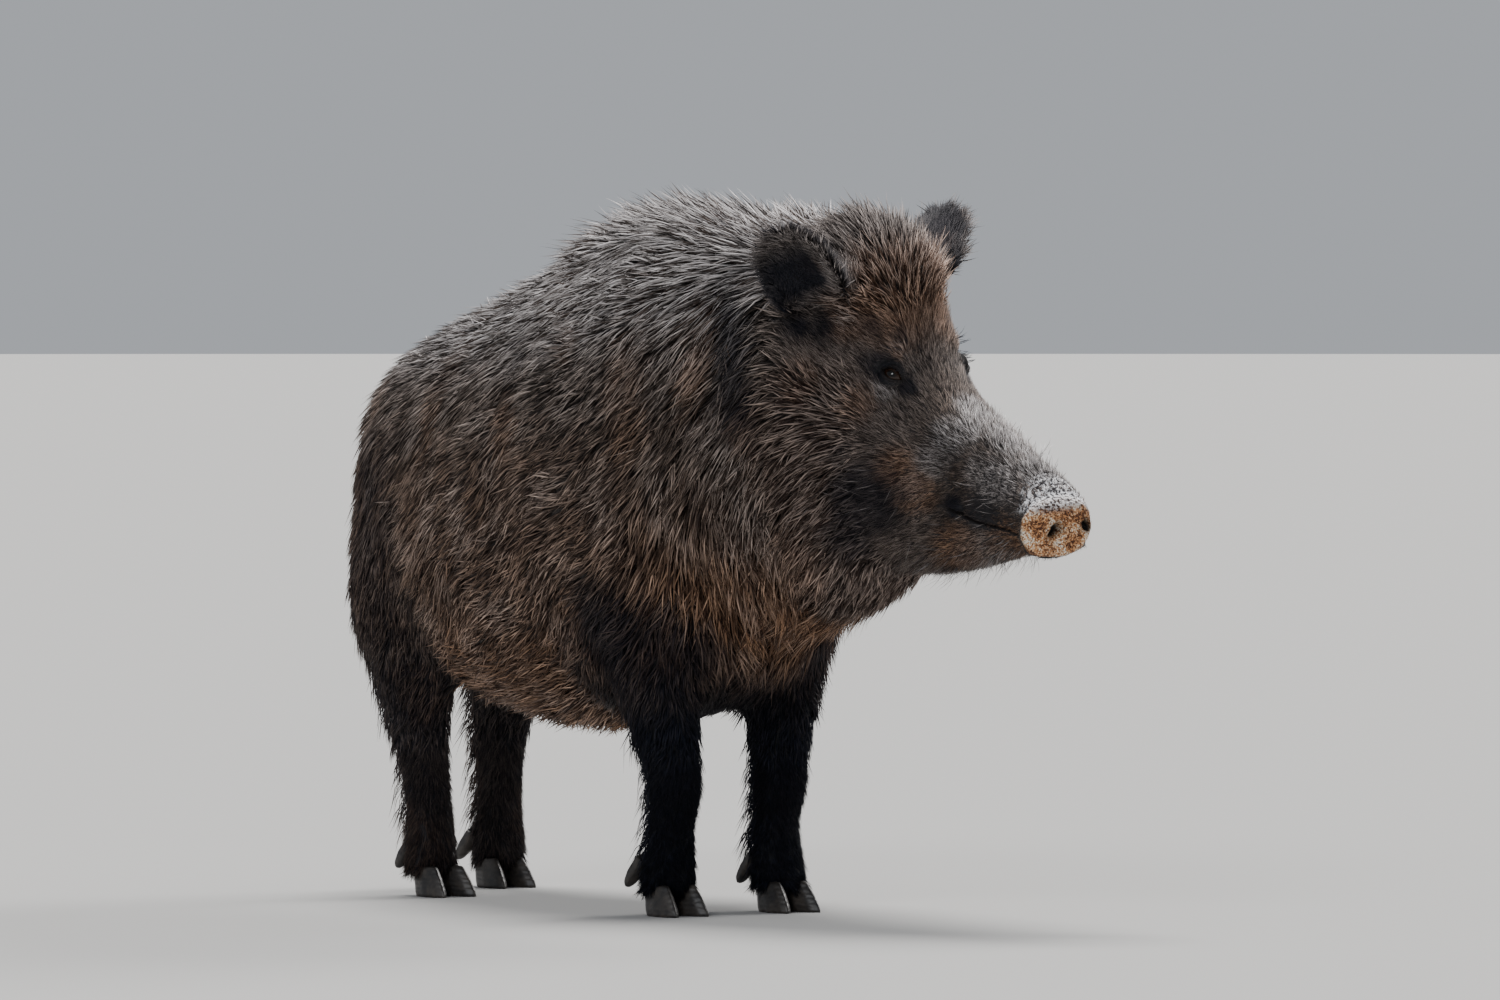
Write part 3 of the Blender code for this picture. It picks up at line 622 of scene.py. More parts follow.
def lids(co, side):
    """Upper and lower lid over one eyeball, with the slit between them, in millimetres."""
    outward = lid_axes(side)[0]
    x, y, h, edge = slit(co, side)
    r = np.hypot(x, y)
    here = (1 - step(r, 11, 20)) * (h > -6)
    lid = 14.1 - r * r / 24.0
    for which, rise, middle, half in LID_FOLDS:
        lid += rise * swell(edge, middle, half) * ((which == 0) | (which * y > 0))
    inside = np.sqrt(np.maximum((1000 * EYE_RADIUS) ** 2 - r * r, 0)) - 2.6
    share = 1 - step(edge, -0.2, 0.9)
    goal = lid * (1 - share) + inside * share
    return co + ((goal - h) * here / 1000)[:, None] * outward


for side in SIDES:
    co = lids(co, side)

# Bones and muscle of the face: forward, out, up, radius and push, in metres.
FACE_FORMS = (
    (-0.190, 0.043, 0.204, 0.015, 0.0040),
    (-0.214, 0.083, 0.165, 0.026, 0.0035),
    (-0.160, 0.040, 0.158, 0.015, -0.0030),
    (-0.128, 0.047, 0.084, 0.026, -0.0045),
    (-0.090, 0.052, 0.040, 0.021, 0.0070),
    (-0.126, 0.056, 0.052, 0.012, -0.0040),
    (-0.107, 0.055, 0.022, 0.009, -0.0070),
    (-0.150, 0.066, 0.022, 0.018, -0.0040),
    (-0.230, 0.100, 0.050, 0.035, 0.0040),
    (-0.232, 0.112, 0.098, 0.014, -0.0030),
    (-0.274, 0.102, 0.246, 0.024, -0.0110),
)
set_points(skin.data, co)
normal = normals_of(skin.data)
f, l, u = in_head(co).T
out = np.abs(l)
for mf, mo, mu, reach, push in FACE_FORMS:
    off = (f - mf) ** 2 + (out - mo) ** 2 + (u - mu) ** 2
    co = co + normal * (push * np.exp(-off / reach**2))[:, None]

# Nostrils, rim and middle furrow of the disc.
DISC_WIDE, DISC_TALL = 0.046, 0.0345  # half of each
NOSTRIL_OUT, NOSTRIL_UP, NOSTRIL_DEEP = 0.0215, 0.001, 0.013
NOSTRIL_WIDE, NOSTRIL_TALL = 8.8, 7.2  # half of each, millimetres
WRINKLE = 0.0105  # from one wrinkle of the snout to the next


def nostril(l, u, low=0.70, high=1.10):
    """1 in the middle of either nostril, 0 outside them, with the edge between low and high."""
    deep = np.zeros(len(l))
    for way in SIDES.values():
        a, b = (l - way * NOSTRIL_OUT) * 1000, (u - NOSTRIL_UP) * 1000
        off = np.hypot(a / NOSTRIL_WIDE, (b + way * a * 0.35 + 0.03 * a * a) / NOSTRIL_TALL)
        deep = np.maximum(deep, 1 - step(off, low, high))
    return deep


front = step(f, 0.004, 0.012)
disc_r = np.hypot(l / DISC_WIDE, (u + 0.001) / DISC_TALL)
push = -NOSTRIL_DEEP * nostril(l, u) * front
push += 0.0022 * swell(disc_r, 0.86, 0.10) * front
push -= 0.0014 * swell(l, 0.0, 0.0022) * front * (1 - step(u, 0.004, 0.02))
push += 0.0006 * (wave(co, 0.007, 31) + wave(co, 0.004, 32)) * front
co = co + push[:, None] * (np.array([1.0, 0.0, 0.0]) @ HEAD)

# The line of the mouth with a lip on each side of it, and the wrinkles over the snout.
off, reach = mouth_line(f, out, u)
carve = -4.6 * swell(off, 0.0, 1.9) + 2.0 * swell(off, 6.0, 3.2) + 1.6 * swell(off, -5.5, 3.2)
carve *= reach
wrinkle = np.sin(2 * math.pi * (f + 0.25 * out) / WRINKLE + 1.5 * wave(co, 0.05, 9))
top = step(normal @ HEAD.T[:, 2], -0.1, 0.5)
carve += 0.9 * wrinkle * top * step(f, -0.085, -0.05) * (1 - step(f, -0.004, 0.002))
carve += 0.5 * wave(co, 0.012, 21) * step(f, -0.12, -0.05) * (1 - front)
co = co + normal * carve[:, None] / 1000

# Last, the disc turns and shifts.
share = step(f, -0.045, 0.010)
co += np.stack([DISC_TURN * l * share, -DISC_SHIFT * share, 0 * l], 1) @ HEAD
set_points(skin.data, co)
skin.data.shade_smooth()
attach(skin, "root")
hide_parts(*FLESH)


def attribute(mesh, name, values):
    """Stores up to three numbers at every vertex, for a finish to read."""
    made = mesh.attributes.new(name, "FLOAT_COLOR", "POINT")
    full = np.ones((len(values), 4), np.float32)
    full[:, : values.shape[1]] = values
    made.data.foreach_set("color", full.ravel())


# The hide carries the coat's marks, and the zones of bare skin: dry soil on the disc, its white
# rim, and a near black that is painted shade in and round the nostrils and in the crease of the
# mouth, and dark lid skin with painted shade round the eyes.
co, normal = points_of(skin.data), normals_of(skin.data)
attribute(skin.data, "marks", plan(co, normal)["marks"])
f, l, u = unturned(in_head(co))
soil = step(f, 0.001, 0.0085) * (1 - 0.6 * step(u, 0.018, 0.030))
rim = step(f + 0.008 * wave(co, 0.014, 41), -0.034, -0.012)
rim = rim * step(u, 0.016, 0.030) * (1 - 0.7 * soil)
off, mouth = mouth_line(f, np.abs(l), u)
# Painted shade: near black in the nostrils and round their edges, and in the crease of the mouth;
# round the eye slits, dark bare lid skin with painted shade of the sockets.
pit_shade_and_lids = np.maximum(nostril(l, u), 0.55 * nostril(l, u, 0.9, 1.9)) * step(f, -0.010, 0.000)
pit_shade_and_lids = np.maximum(pit_shade_and_lids, 0.97 * (1 - step(near_slit(co), 2.4, 5.6)))
pit_shade_and_lids = np.maximum(pit_shade_and_lids, 0.90 * mouth * (1 - step(np.abs(off), 1.5, 4.0)))
attribute(skin.data, "zones", np.stack([soil, rim, pit_shade_and_lids], 1))


class Wire:
    """A shader socket that adds, multiplies and so on as a number would."""

    def __init__(self, tree, socket):
        self.tree, self.socket = tree, socket

    def math(self, kind, other):
        node = self.tree.nodes.new("ShaderNodeMath")
        node.operation = kind
        feed(self.tree, node.inputs[0], self)
        feed(self.tree, node.inputs[1], other)
        return Wire(self.tree, node.outputs[0])

    def __add__(self, other):
        return self.math("ADD", other)

    def __sub__(self, other):
        return self.math("SUBTRACT", other)

    def __mul__(self, other):
        return self.math("MULTIPLY", other)

    def __pow__(self, other):
        return self.math("POWER", other)


def feed(tree, slot_in, value):
    """Joins a wire to a socket, or sets the socket to a value."""
    if isinstance(value, Wire):
        tree.links.new(value.socket, slot_in)
    else:
        slot_in.default_value = value


class Finish:
    """A Principled material with nodes made by type, settings first and then inputs, which
    are given by name, or as i and a number."""

    def __init__(self, name):
        self.material = bpy.data.materials.new(name)
        self.material.use_nodes = True
        self.tree = self.material.node_tree
        self.shader = self.tree.nodes["Principled BSDF"]

    def node(self, kind, settings=None, out=0, **inputs):
        made = self.tree.nodes.new("ShaderNode" + kind)
        for key, value in (settings or {}).items():
            setattr(made, key, value)
        for key, value in inputs.items():
            which = int(key[1:]) if key[1:].isdigit() else key.replace("_", " ")
            feed(self.tree, made.inputs[which], value)
        return Wire(self.tree, made.outputs[out])

    def mix(self, share, first, second):
        made = self.tree.nodes.new("ShaderNodeMix")
        made.data_type = "RGBA"
        feed(self.tree, made.inputs[0], share)
        for slot_in, colour in ((made.inputs[6], first), (made.inputs[7], second)):
            feed(self.tree, slot_in, (*colour, 1.0) if isinstance(colour, tuple) else colour)
        return Wire(self.tree, made.outputs[2])

    def set(self, **inputs):
        for key, value in inputs.items():
            feed(self.tree, self.shader.inputs[key.replace("_", " ")], value)

    def stored(self, name, count):
        """The first few numbers that the mesh stores under that name."""
        colour = self.node("Attribute", {"attribute_name": name})
        return [self.node("SeparateColor", None, k, Color=colour) for k in range(count)]

    def ramp(self, value, low, high):
        smooth = {"interpolation_type": "SMOOTHSTEP"}
        return self.node("MapRange", smooth, i0=value, i1=low, i2=high)


def skin_finish():
    make = Finish("hide")
    place = make.node("TexCoord", None, 3)
    black, rust, pale = make.stored("marks", 3)
    soil, rim, dark = make.stored("zones", 3)
    speckle = make.node("TexNoise", None, 0, Vector=place, Scale=420.0, Detail=3.0, Roughness=0.6)
    patch = make.node("TexNoise", None, 0, Vector=place, Scale=60.0, Detail=4.0, Roughness=0.6)
    base = make.mix(rust, (0.022, 0.0175, 0.016), (0.044, 0.026, 0.018))
    # Pale where the marks say so, which on the back and in places on the face is partly painted
    # light.
    base = make.mix(pale * 0.6, base, (0.230, 0.205, 0.195))
    base = make.mix(make.ramp(speckle, 0.42, 0.56), base, (0.010, 0.008, 0.008))
    base = make.mix(black * 0.95, base, (0.004, 0.0045, 0.007))
    crumb, grain = (
        make.node("TexVoronoi", {"feature": "F1"}, out, Vector=place, Scale=640.0, Randomness=1.0)
        for out in (0, 1)
    )
    scurf = make.node("TexNoise", None, 0, Vector=place, Scale=300.0, Detail=3.0, Roughness=0.6)
    grain = make.node("SeparateColor", None, 0, Color=grain) * 0.42
    grain = grain + (patch - 0.5) * 1.7 + scurf * 1.2 - 0.29
    earth = make.mix(make.ramp(grain, 0.26, 0.42), (0.070, 0.026, 0.014), (0.580, 0.270, 0.110))
    earth = make.mix(make.ramp(grain, 0.48, 0.64), earth, (0.820, 0.530, 0.300))
    earth = make.mix(make.ramp(grain, 0.68, 0.80), earth, (0.930, 0.850, 0.720))
    earth = make.mix(make.ramp(crumb, 0.50, 0.80), earth, (0.160, 0.065, 0.030))
    base = make.mix(soil, base, earth)
    white = make.mix(make.ramp(scurf, 0.44, 0.55), (0.025, 0.022, 0.026), (0.920, 0.910, 0.920))
    base = make.mix(rim, base, white)
    # The third zone: painted shade in the nostrils and in the mouth's crease, and dark lid skin
    # with painted shade round the eyes.
    base = make.mix(dark, base, (0.008, 0.006, 0.006))
    height = speckle * 0.6 + patch - soil * crumb * 2.2
    bump = make.node("Bump", None, 0, Strength=0.6, Distance=0.0015, Height=height)
    make.set(Base_Color=base, Roughness=0.6, Normal=bump, Specular_IOR_Level=0.22)
    return make.material


skin.data.materials.append(skin_finish())


# ---- Eyes ----------------------------------------------------------------------------
# Small dark brown eyes, wet and glossy, with a brown iris round a wide dark pupil.


def eye_finish():
    make = Finish("eye")
    iris, pupil = make.stored("iris", 2)
    hue = make.mix(iris, (0.016, 0.011, 0.012), (0.022, 0.010, 0.005))
    hue = make.mix(pupil, hue, (0.002, 0.0018, 0.0018))
    make.set(Base_Color=hue, Roughness=0.12, Specular_IOR_Level=0.2)
    make.set(Coat_Weight=0.25, Coat_Roughness=0.03)
    return make.material


wet = eye_finish()
for side in SIDES:
    ball = bmesh.new()
    bmesh.ops.create_uvsphere(ball, u_segments=40, v_segments=28, radius=EYE_RADIUS)
    bmesh.ops.translate(ball, vec=Vector(EYES[side]), verts=ball.verts)
    eye = mesh_object(f"eyeball_{side}", ball)
    eye.data.shade_smooth()
    outward, along, above = lid_axes(side)
    off = unit(points_of(eye.data) - EYES[side])
    iris = step(off @ unit(outward + 0.15 * above), 0.30, 0.45)
    pupil = step(np.hypot(off @ along * 0.6, off @ above) * -1, -0.32, -0.24) * iris
    attribute(eye.data, "iris", np.stack([iris, pupil], 1))
    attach(eye, "root")
    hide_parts(f"eye_{side}")
    eye.data.materials.append(wet)


# ---- Hooves --------------------------------------------------------------------------
# Two claws and two dewclaws on each foot, of dark horn with faint growth rings. Each is
# the frame's own claw, rounded over its whole surface.

HORN_VOXEL = 0.0016
SOLE = 0.002  # what lies lower than this stays flat on the floor


def horn_finish():
    make = Finish("horn")
    place = make.node("TexCoord", None, 3)
    rings = make.node(
        "TexWave", {"wave_type": "BANDS", "bands_direction": "Z"}, 0,
        Vector=place, Scale=55.0, Distortion=3.0, Detail=3.0, Detail_Scale=2.0,
    )
    dust = make.node("TexNoise", None, 0, Vector=place, Scale=55.0, Detail=5.0, Roughness=0.65)
    hue = make.mix(make.ramp(dust, 0.35, 0.70), (0.009, 0.0078, 0.0075), (0.046, 0.037, 0.030))
    bump = make.node("Bump", None, 0, Strength=0.35, Distance=0.0006, Height=rings + dust * 0.6)
    make.set(Base_Color=hue, Roughness=0.45, Normal=bump)
    return make.material


horn = horn_finish()
for end in ("fore", "hind"):
    for side in SIDES:
        names = [
            f"{kind}_{end}_{side}_{place}"
            for kind in ("hoof", "dewclaw") for place in ("inner", "outer")
        ]
        joined = bmesh.new()
        for node in names:
            joined.from_mesh(NODES[node].data)
        claws = mesh_object(f"claws_{end}_{side}", joined)
        remesh(claws, HORN_VOXEL)
        co = points_of(claws.data)
        low = co[:, 2] < SOLE
        smooth = relax(co, edges_of(claws.data), 0.5, 8)
        smooth[low, 2] = co[low, 2]
        set_points(claws.data, smooth)
        claws.data.shade_smooth()
        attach(claws, "root")
        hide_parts(*names)
        claws.data.materials.append(horn)


# ---- Coat ----------------------------------------------------------------------------
# Coarse winter bristles: thin three-sided tufts, dark at the root and often pale at the
# tip, laid on the skin along the lie of the coat.

rng = np.random.default_rng(11)
FULL = 1.0  # the share of the coat that is made
LONG_TUFTS, SHORT_TUFTS = int(98000 * FULL), int(112000 * FULL)
LONG_LIMIT, SHORT_LIMIT = 19500, 48500  # tufts to a piece: ten triangles each, or four
SHORT = 0.0235  # tufts shorter than this are straight
BURIED = 0.0015  # how deep a tuft is rooted in the skin
TUFT_PATCH = 0.003  # the width of a tuft's own patch of the layout
LOCK = 20  # tufts to a lock
GUARD_SHARE = 0.05  # of the tufts are longer, thinner guard hairs

# Each root is a random place on a triangle of the skin, and a triangle is chosen by its
# area and by how dense the coat is there.
skin.data.calc_loop_triangles()
corners = rows_of(skin.data.loop_triangles, "vertices", 3, np.int32)
co, normal = points_of(skin.data), normals_of(skin.data)
a, b, c = (co[corners[:, k]] for k in range(3))
area = np.linalg.norm(np.cross(b - a, c - a), axis=1) / 2
there = plan((a + b + c) / 3, unit(np.cross(b - a, c - a)))
chosen = []
is_long = there["length"] >= SHORT
for count, kind in ((LONG_TUFTS, is_long), (SHORT_TUFTS, ~is_long)):
    reached = np.cumsum(area * there["dense"] * kind)
    picks = (np.arange(count) + rng.random(count)) / count * reached[-1]
    chosen.append(np.minimum(np.searchsorted(reached, picks), len(area) - 1))
chosen = np.concatenate(chosen)
TUFTS = len(chosen)
bent = np.arange(TUFTS) < LONG_TUFTS
s, t = rng.random(TUFTS), rng.random(TUFTS)
s, t = np.where(s + t > 1, 1 - s, s), np.where(s + t > 1, 1 - t, t)
root = a[chosen] + s[:, None] * (b - a)[chosen] + t[:, None] * (c - a)[chosen]
n0, n1, n2 = (normal[corners[chosen, k]] for k in range(3))
up = unit(n0 * (1 - s - t)[:, None] + n1 * s[:, None] + n2 * t[:, None])
look = plan(root, up)


def unwrap(points, look):
    """Each root's place on one flat layout of the skin, with the hide in its upper part,
    and legs, ears and tail side by side below it."""
    x, y, z = points[:, 0] - TRUNK_SHIFT, points[:, 1], points[:, 2]
    turn = np.arctan2(y, z - 0.52) / (2 * math.pi) + 0.5
    place = np.stack([0.02 + 0.96 * (x + 0.45) / 1.32, 0.36 + 0.62 * turn], 1)
    low = look["leg"] > 0.5
    fore, left = x > 0, y > 0
    centre = np.where(fore, 0.26, -0.29)
    spin = np.arctan2(y - np.where(left, 0.085, -0.085), x - centre) / (2 * math.pi) + 0.5
    column = 0.02 + 0.19 * (fore * 1 + left * 2)
    place[low] = np.stack([column + 0.17 * spin, 0.02 + 0.30 * np.clip(z / 0.5, 0, 1)], 1)[low]
    at = in_head(points)
    for k, (name, way) in enumerate(SIDES.items()):
        share = ear_share(at, name)[0]
        mine = (look["ear"] > 0.5) & (at[:, 1] * way > 0)
        around = at[:, 0] * 3 + 1.2 + 0.3 * (look["hollow"] > 0.5)
        across = 0.79 + 0.10 * np.clip(around, 0, 1)
        along = 0.02 + 0.14 * k + 0.12 * np.clip(share, 0, 1)
        place[mine] = np.stack([across, along], 1)[mine]
    back = look["tail"] > 0.5
    across = 0.92 + 0.06 * np.clip((y - 0.018) * 12 + 0.5, 0, 1)
    place[back] = np.stack([across, 0.02 + 0.3 * np.clip(z / 0.6, 0, 1)], 1)[back]
    return place


def tuft_object(name, root, up, lie, length, lift, wide, marks, tint, spot, bow, pull, bent):
    """One closed mesh of three-sided tufts: a ring at the root, a tip, and, in bent ones,
    a second ring midway."""
    count = len(root)
    side = unit(np.cross(up, lie))
    rise, run = (np.sin(lift) * length)[:, None], (np.cos(lift) * length)[:, None]
    swing = (bow * length)[:, None]
    start = root - up * BURIED
    mid = root + lie * run * 0.46 + up * rise * 0.62 + side * (swing * 0.10) + pull * 0.35
    tip = root + lie * run + up * rise + side * (swing * 0.32) + pull
    rings = ((start, 0.75), (mid, 1.0)) if bent else ((start, 1.0),)
    last = 3 * len(rings)
    points = np.empty((count, last + 1, 3))
    half, thick = (wide / 2)[:, None], (wide * 0.42)[:, None]
    for row, (centre, size) in enumerate(rings):
        points[:, 3 * row] = centre + side * half * size - up * thick * 0.4 * size
        points[:, 3 * row + 1] = centre - side * half * size - up * thick * 0.4 * size
        points[:, 3 * row + 2] = centre + up * thick * 0.8 * size
    points[:, last] = tip
    a, b, c = last - 3, last - 2, last - 1
    faces = [[0, 2, 1], [a, b, last], [b, c, last], [c, a, last]]
    faces += [[0, 1, 4, 3], [1, 2, 5, 4], [2, 0, 3, 5]] if bent else []
    loops = (np.arange(count) * (last + 1))[:, None] + np.concatenate(faces)
    sizes = np.tile([len(face) for face in faces], count)
    mesh = bpy.data.meshes.new(name)
    mesh.vertices.add(count * (last + 1))
    mesh.vertices.foreach_set("co", points.ravel())
    mesh.loops.add(loops.size)
    mesh.loops.foreach_set("vertex_index", loops.ravel().astype(np.int32))
    mesh.polygons.add(len(sizes))
    mesh.polygons.foreach_set("loop_start", (np.cumsum(sizes) - sizes).astype(np.int32))
    mesh.polygons.foreach_set("loop_total", sizes.astype(np.int32))
    mesh.update(calc_edges=True)
    mesh.shade_smooth()
    along = np.repeat(np.linspace(0.0, 1.0, len(rings) + 1), [3] * len(rings) + [1])
    attribute(mesh, "strand", np.stack([np.tile(along, count), np.repeat(tint, last + 1)], 1))
    attribute(mesh, "marks", np.repeat(marks, last + 1, 0))
    patch = np.stack([np.array([0.0, 1.0, 0.5] * len(rings) + [0.5]), along], 1) - 0.5
    layer = mesh.uv_layers.new(name="OFBake")
    flat = spot[:, None, :] + patch[None] * TUFT_PATCH
    layer.data.foreach_set("uv", flat.reshape(-1, 2)[loops.ravel()].ravel().astype(np.float32))
    return placed(name, mesh)


def nearest(points, places):
    """For each place, which of the points is nearest to it."""
    tree = KDTree(len(points))
    for k, point in enumerate(points):
        tree.insert(point, k)
    tree.balance()
    return np.array([tree.find(place)[1] for place in places])


# The piece that a tuft belongs to, where a later line overrules an earlier one.
zone = np.full(TUFTS, "flank", dtype="<U8")
zone[root[:, 0] > TRUNK_SHIFT + 0.30] = "neck"
zone[(np.abs(root[:, 1]) < 0.07) & (up[:, 2] > 0.5)] = "back"
zone[look["leg"] > 0.5] = "legs"
zone[look["tail"] > 0.5] = "tail"
zone[look["head"] > 0.5] = "face"
zone[look["ear"] > 0.5] = "ears"
hand = np.where(root[:, 1] < 0, "right", "left")
spot = unwrap(root, look)

# Tufts gather into locks: each leans to the middle of its lock and shares its shade.
lock_of = rng.choice(TUFTS, TUFTS // LOCK, replace=False)
lock = nearest(root[lock_of], root)
pull = root[lock_of][lock] - root
pull -= (pull * up).sum(1, keepdims=True) * up
far = np.linalg.norm(pull, axis=1, keepdims=True)
gather = (0.50 - 0.20 * look["ear"] - 0.22 * look["head"])[:, None]
pull *= gather * np.minimum(1.0, 0.6 * look["length"][:, None] / np.maximum(far, 1e-6))

lie = look["lie"] + 0.15 * rng.normal(size=(TUFTS, 3))
lie = lie + 0.13 * rng.normal(size=(len(lock_of), 3))[lock]
lie = unit(lie - (lie * up).sum(1, keepdims=True) * up)
length = look["length"] * rng.uniform(0.65, 1.25, TUFTS)
guard = rng.random(TUFTS) < GUARD_SHARE * (1 - look["ear"]) * (1 - 0.6 * look["leg"])
length[guard] *= 1.25
raised = rng.uniform(0.60, 1.35, TUFTS) * rng.uniform(0.70, 1.30, len(lock_of))[lock]
lift = look["lift"] * np.minimum(raised, 1.45)
wide = look["wide"] * rng.uniform(0.7, 1.25, TUFTS)
wide[guard] *= 0.8
tint = 0.86 * rng.random(TUFTS) + 0.14 * rng.random(len(lock_of))[lock]
tint = np.clip(tint + 0.07 * wave(root, 0.05, 5), 0, 1)
bow = rng.normal(size=TUFTS) * 0.35


def coat_finish():
    make = Finish("bristle")
    along, tint = make.stored("strand", 2)
    black, rust, pale = make.stored("marks", 3)
    shade = tint**2.0
    root = make.mix(rust, (0.0130, 0.0105, 0.0100), (0.029, 0.0180, 0.0130))
    brown = make.mix(shade, (0.021, 0.0155, 0.0135), (0.400, 0.300, 0.240))
    rusty = make.mix(shade, (0.046, 0.0210, 0.0120), (0.740, 0.410, 0.225))
    tip = make.mix(rust, brown, rusty)
    grey = make.mix(shade, (0.190, 0.172, 0.168), (0.960, 0.910, 0.900))
    # Grey tips where the marks say pale; on the back and in places on the face this is partly
    # painted light.
    tip = make.mix(pale * make.ramp(tint, 0.25, 0.60), tip, grey)
    hue = make.mix(make.ramp(along, 0.02, 0.70), root, tip)
    # Black hair, with a blue cast that is painted skylit shade.
    blue_shaded_black = make.mix(tint, (0.0013, 0.0028, 0.0075), (0.0055, 0.0090, 0.0200))
    hue = make.mix(black * 0.97, hue, blue_shaded_black)
    make.set(Base_Color=hue, Roughness=0.55, Specular_IOR_Level=0.16)
    return make.material


bristle = coat_finish()
tufts = (root, up, lie, length, lift, wide, look["marks"], tint, spot, bow, pull)
for part in ("flank", "neck", "back", "legs", "tail", "face", "ears"):
    for name in ("right", "left"):
        for bends, label, limit in ((True, "coat", LONG_LIMIT), (False, "short_coat", SHORT_LIMIT)):
            mine = np.nonzero((zone == part) & (hand == name) & (bent == bends))[0]
            if len(mine) == 0:
                continue
            pieces = math.ceil(len(mine) / limit)
            order = mine[np.argsort(root[mine, 0], kind="stable")]
            for k, some in enumerate(np.array_split(order, pieces)):
                title = f"{label}_{part}_{name}" + (f"_{k + 1}" if pieces > 1 else "")
                made = tuft_object(title, *(values[some] for values in tufts), bends)
                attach(made, "root")
                made.data.materials.append(bristle)


# ---- Lashes and whiskers -------------------------------------------------------------
# Dark lashes along the upper lids, and long stiff bristles on the muzzle, chin, cheeks
# and brows, each a single thin spike rooted in the skin.

LASHES = 22
LASH_WIDTH, WHISKER_WIDTH = 0.0007, 0.0006
WHISKERS = (  # forward, out, up, spread, how many, length, degrees they stand up, how pale
    (-0.035, 0.010, 0.078, 0.030, 34, 0.030, 55.0, 1.0),
    (-0.090, 0.008, 0.118, 0.034, 70, 0.017, 50.0, 1.0),
    (-0.060, 0.045, 0.040, 0.035, 30, 0.024, 35.0, 0.5),
    (-0.070, 0.025, -0.030, 0.040, 60, 0.026, 40.0, 0.6),
    (-0.150, 0.030, -0.045, 0.040, 60, 0.032, 35.0, 0.4),
    (-0.188, 0.046, 0.206, 0.012, 16, 0.018, 50.0, 0.0),
    (-0.225, 0.104, 0.045, 0.050, 34, 0.030, 18.0, 0.5),
)


def bristles(name, places, lean, length, lift, width, pale):
    """Single bristles at the skin nearest each place, leaning one way each."""
    found = nearest(co, places)
    base, up = co[found], normal[found]
    lie = unit(lean - (lean * up).sum(1, keepdims=True) * up)
    count = len(base)
    pale = np.broadcast_to(pale, (count,))
    marks = np.stack([1.0 - pale, 0.0 * pale, pale], 1)
    wide = np.full(count, width)
    made = tuft_object(
        name, base, up, lie, length, np.radians(lift), wide, marks, rng.uniform(0.6, 1.0, count),
        unwrap(base, plan(base, up)), rng.normal(size=count) * 0.3, np.zeros((count, 3)), True,
    )
    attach(made, "root")
    made.data.materials.append(bristle)


for side, way in SIDES.items():
    outward, along, above = lid_axes(side)
    t = np.linspace(-0.95, 0.85, LASHES)
    rise = 0.0058 * (1 - t**2) + 0.0009
    places = EYES[side] + 0.0106 * t[:, None] * along + rise[:, None] * above
    places = places + EYE_RADIUS * outward
    lean = unit(0.75 * above + 0.5 * t[:, None] * along + 0.14 * rng.normal(size=(LASHES, 3)))
    bristles(
        f"lashes_{side}", places, lean, rng.uniform(0.007, 0.011, LASHES),
        rng.uniform(35, 60, LASHES), LASH_WIDTH, 0.0,
    )
    rows = []
    for mf, mo, mu, spread, count, long, high, pale in WHISKERS:
        scatter = rng.normal(size=(count, 3)) * spread * np.array([0.6, 0.5, 0.5])
        around = from_head(np.array([mf, way * mo, mu]) + scatter)
        lean = plan(around, np.tile(HEAD[2], (count, 1)))["lie"]
        length = long * rng.uniform(0.5, 1.3, count)
        lift = high * rng.uniform(0.6, 1.4, count)
        rows.append((around, lean, length, lift, np.full(count, pale)))
    places, lean, length, lift, pale = map(np.concatenate, zip(*rows))
    lean = lean + 0.35 * rng.normal(size=(len(places), 3))
    bristles(f"whiskers_{side}", places, lean, length, lift, WHISKER_WIDTH, pale)


# ---- Floor, light and camera ---------------------------------------------------------
# A wide pale floor under even light: a high key, a rim from the far side and a weak fill.
# A long lens looks on from the right and ahead, level with the animal's back.

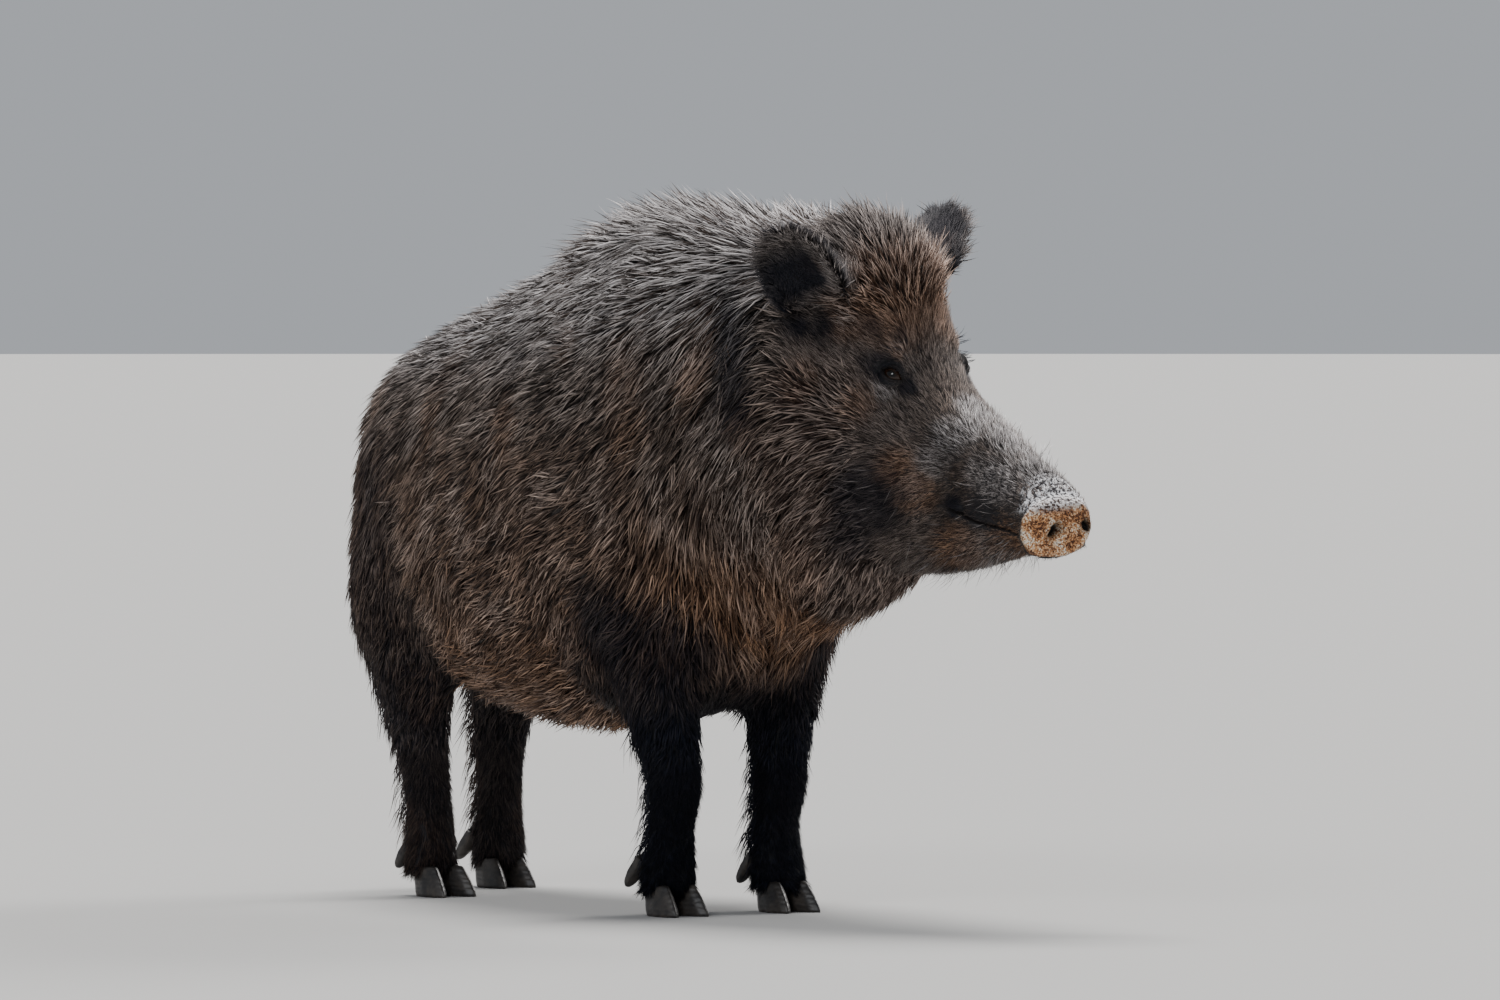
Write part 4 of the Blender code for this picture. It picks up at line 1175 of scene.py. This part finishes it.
floor_form = bmesh.new()
bmesh.ops.create_circle(floor_form, cap_ends=True, segments=96, radius=60.0)
floor = mesh_object("floor", floor_form)
pale_floor = Finish("floor")
pale_floor.set(Base_Color=(0.40, 0.395, 0.385, 1.0), Roughness=0.9)
floor.data.materials.append(pale_floor.material)

world = bpy.data.worlds.new("studio")
bpy.context.scene.world = world
world.use_nodes = True
world.node_tree.nodes["Background"].inputs[0].default_value = (0.82, 0.86, 0.92, 1.0)
world.node_tree.nodes["Background"].inputs[1].default_value = 0.50


def soft_sun(name, toward, power, spread, colour):
    """A broad, even light from one direction."""
    lamp = bpy.data.lights.new(name, "SUN")
    lamp.energy, lamp.angle, lamp.color = power, math.radians(spread), colour
    turn = Vector(toward).to_track_quat("Z", "Y")
    placed(name, lamp).rotation_euler = turn.to_euler()


soft_sun("key", (-0.30, 0.12, 1.0), 4.4, 28.0, (1.0, 0.98, 0.96))
soft_sun("rim", (-0.15, 0.85, 0.50), 2.2, 25.0, (1.0, 0.98, 0.96))
soft_sun("fill", (0.55, -0.85, 0.60), 0.80, 16.0, (0.95, 0.97, 1.0))

AZIMUTH, ELEVATION = math.radians(57.0), math.radians(1.5)
DISTANCE = 14.0
FOCAL_LENGTH, SENSOR_WIDTH = 285.6, 36.0  # millimetres
MIDDLE_HEIGHT = 0.43  # of the point that the camera stands straight off
AIM_RIGHT, AIM_UP = 0.181, 0.0435  # from there to the place that it looks at
back = Vector((
    math.sin(AZIMUTH) * math.cos(ELEVATION),
    -math.cos(AZIMUTH) * math.cos(ELEVATION),
    math.sin(ELEVATION),
))
right = Vector((math.cos(AZIMUTH), math.sin(AZIMUTH), 0.0))
rise = back.cross(right)
stand = Vector((TRUNK_SHIFT, 0.0, MIDDLE_HEIGHT))
aim = stand + right * AIM_RIGHT + rise * AIM_UP
lens = bpy.data.cameras.new("camera")
lens.sensor_width = SENSOR_WIDTH
lens.lens = FOCAL_LENGTH
lens.clip_end = 200.0
camera = placed("camera", lens)
camera.location = stand + back * DISTANCE
camera.rotation_euler = (aim - camera.location).to_track_quat("-Z", "Y").to_euler()
bpy.context.scene.camera = camera
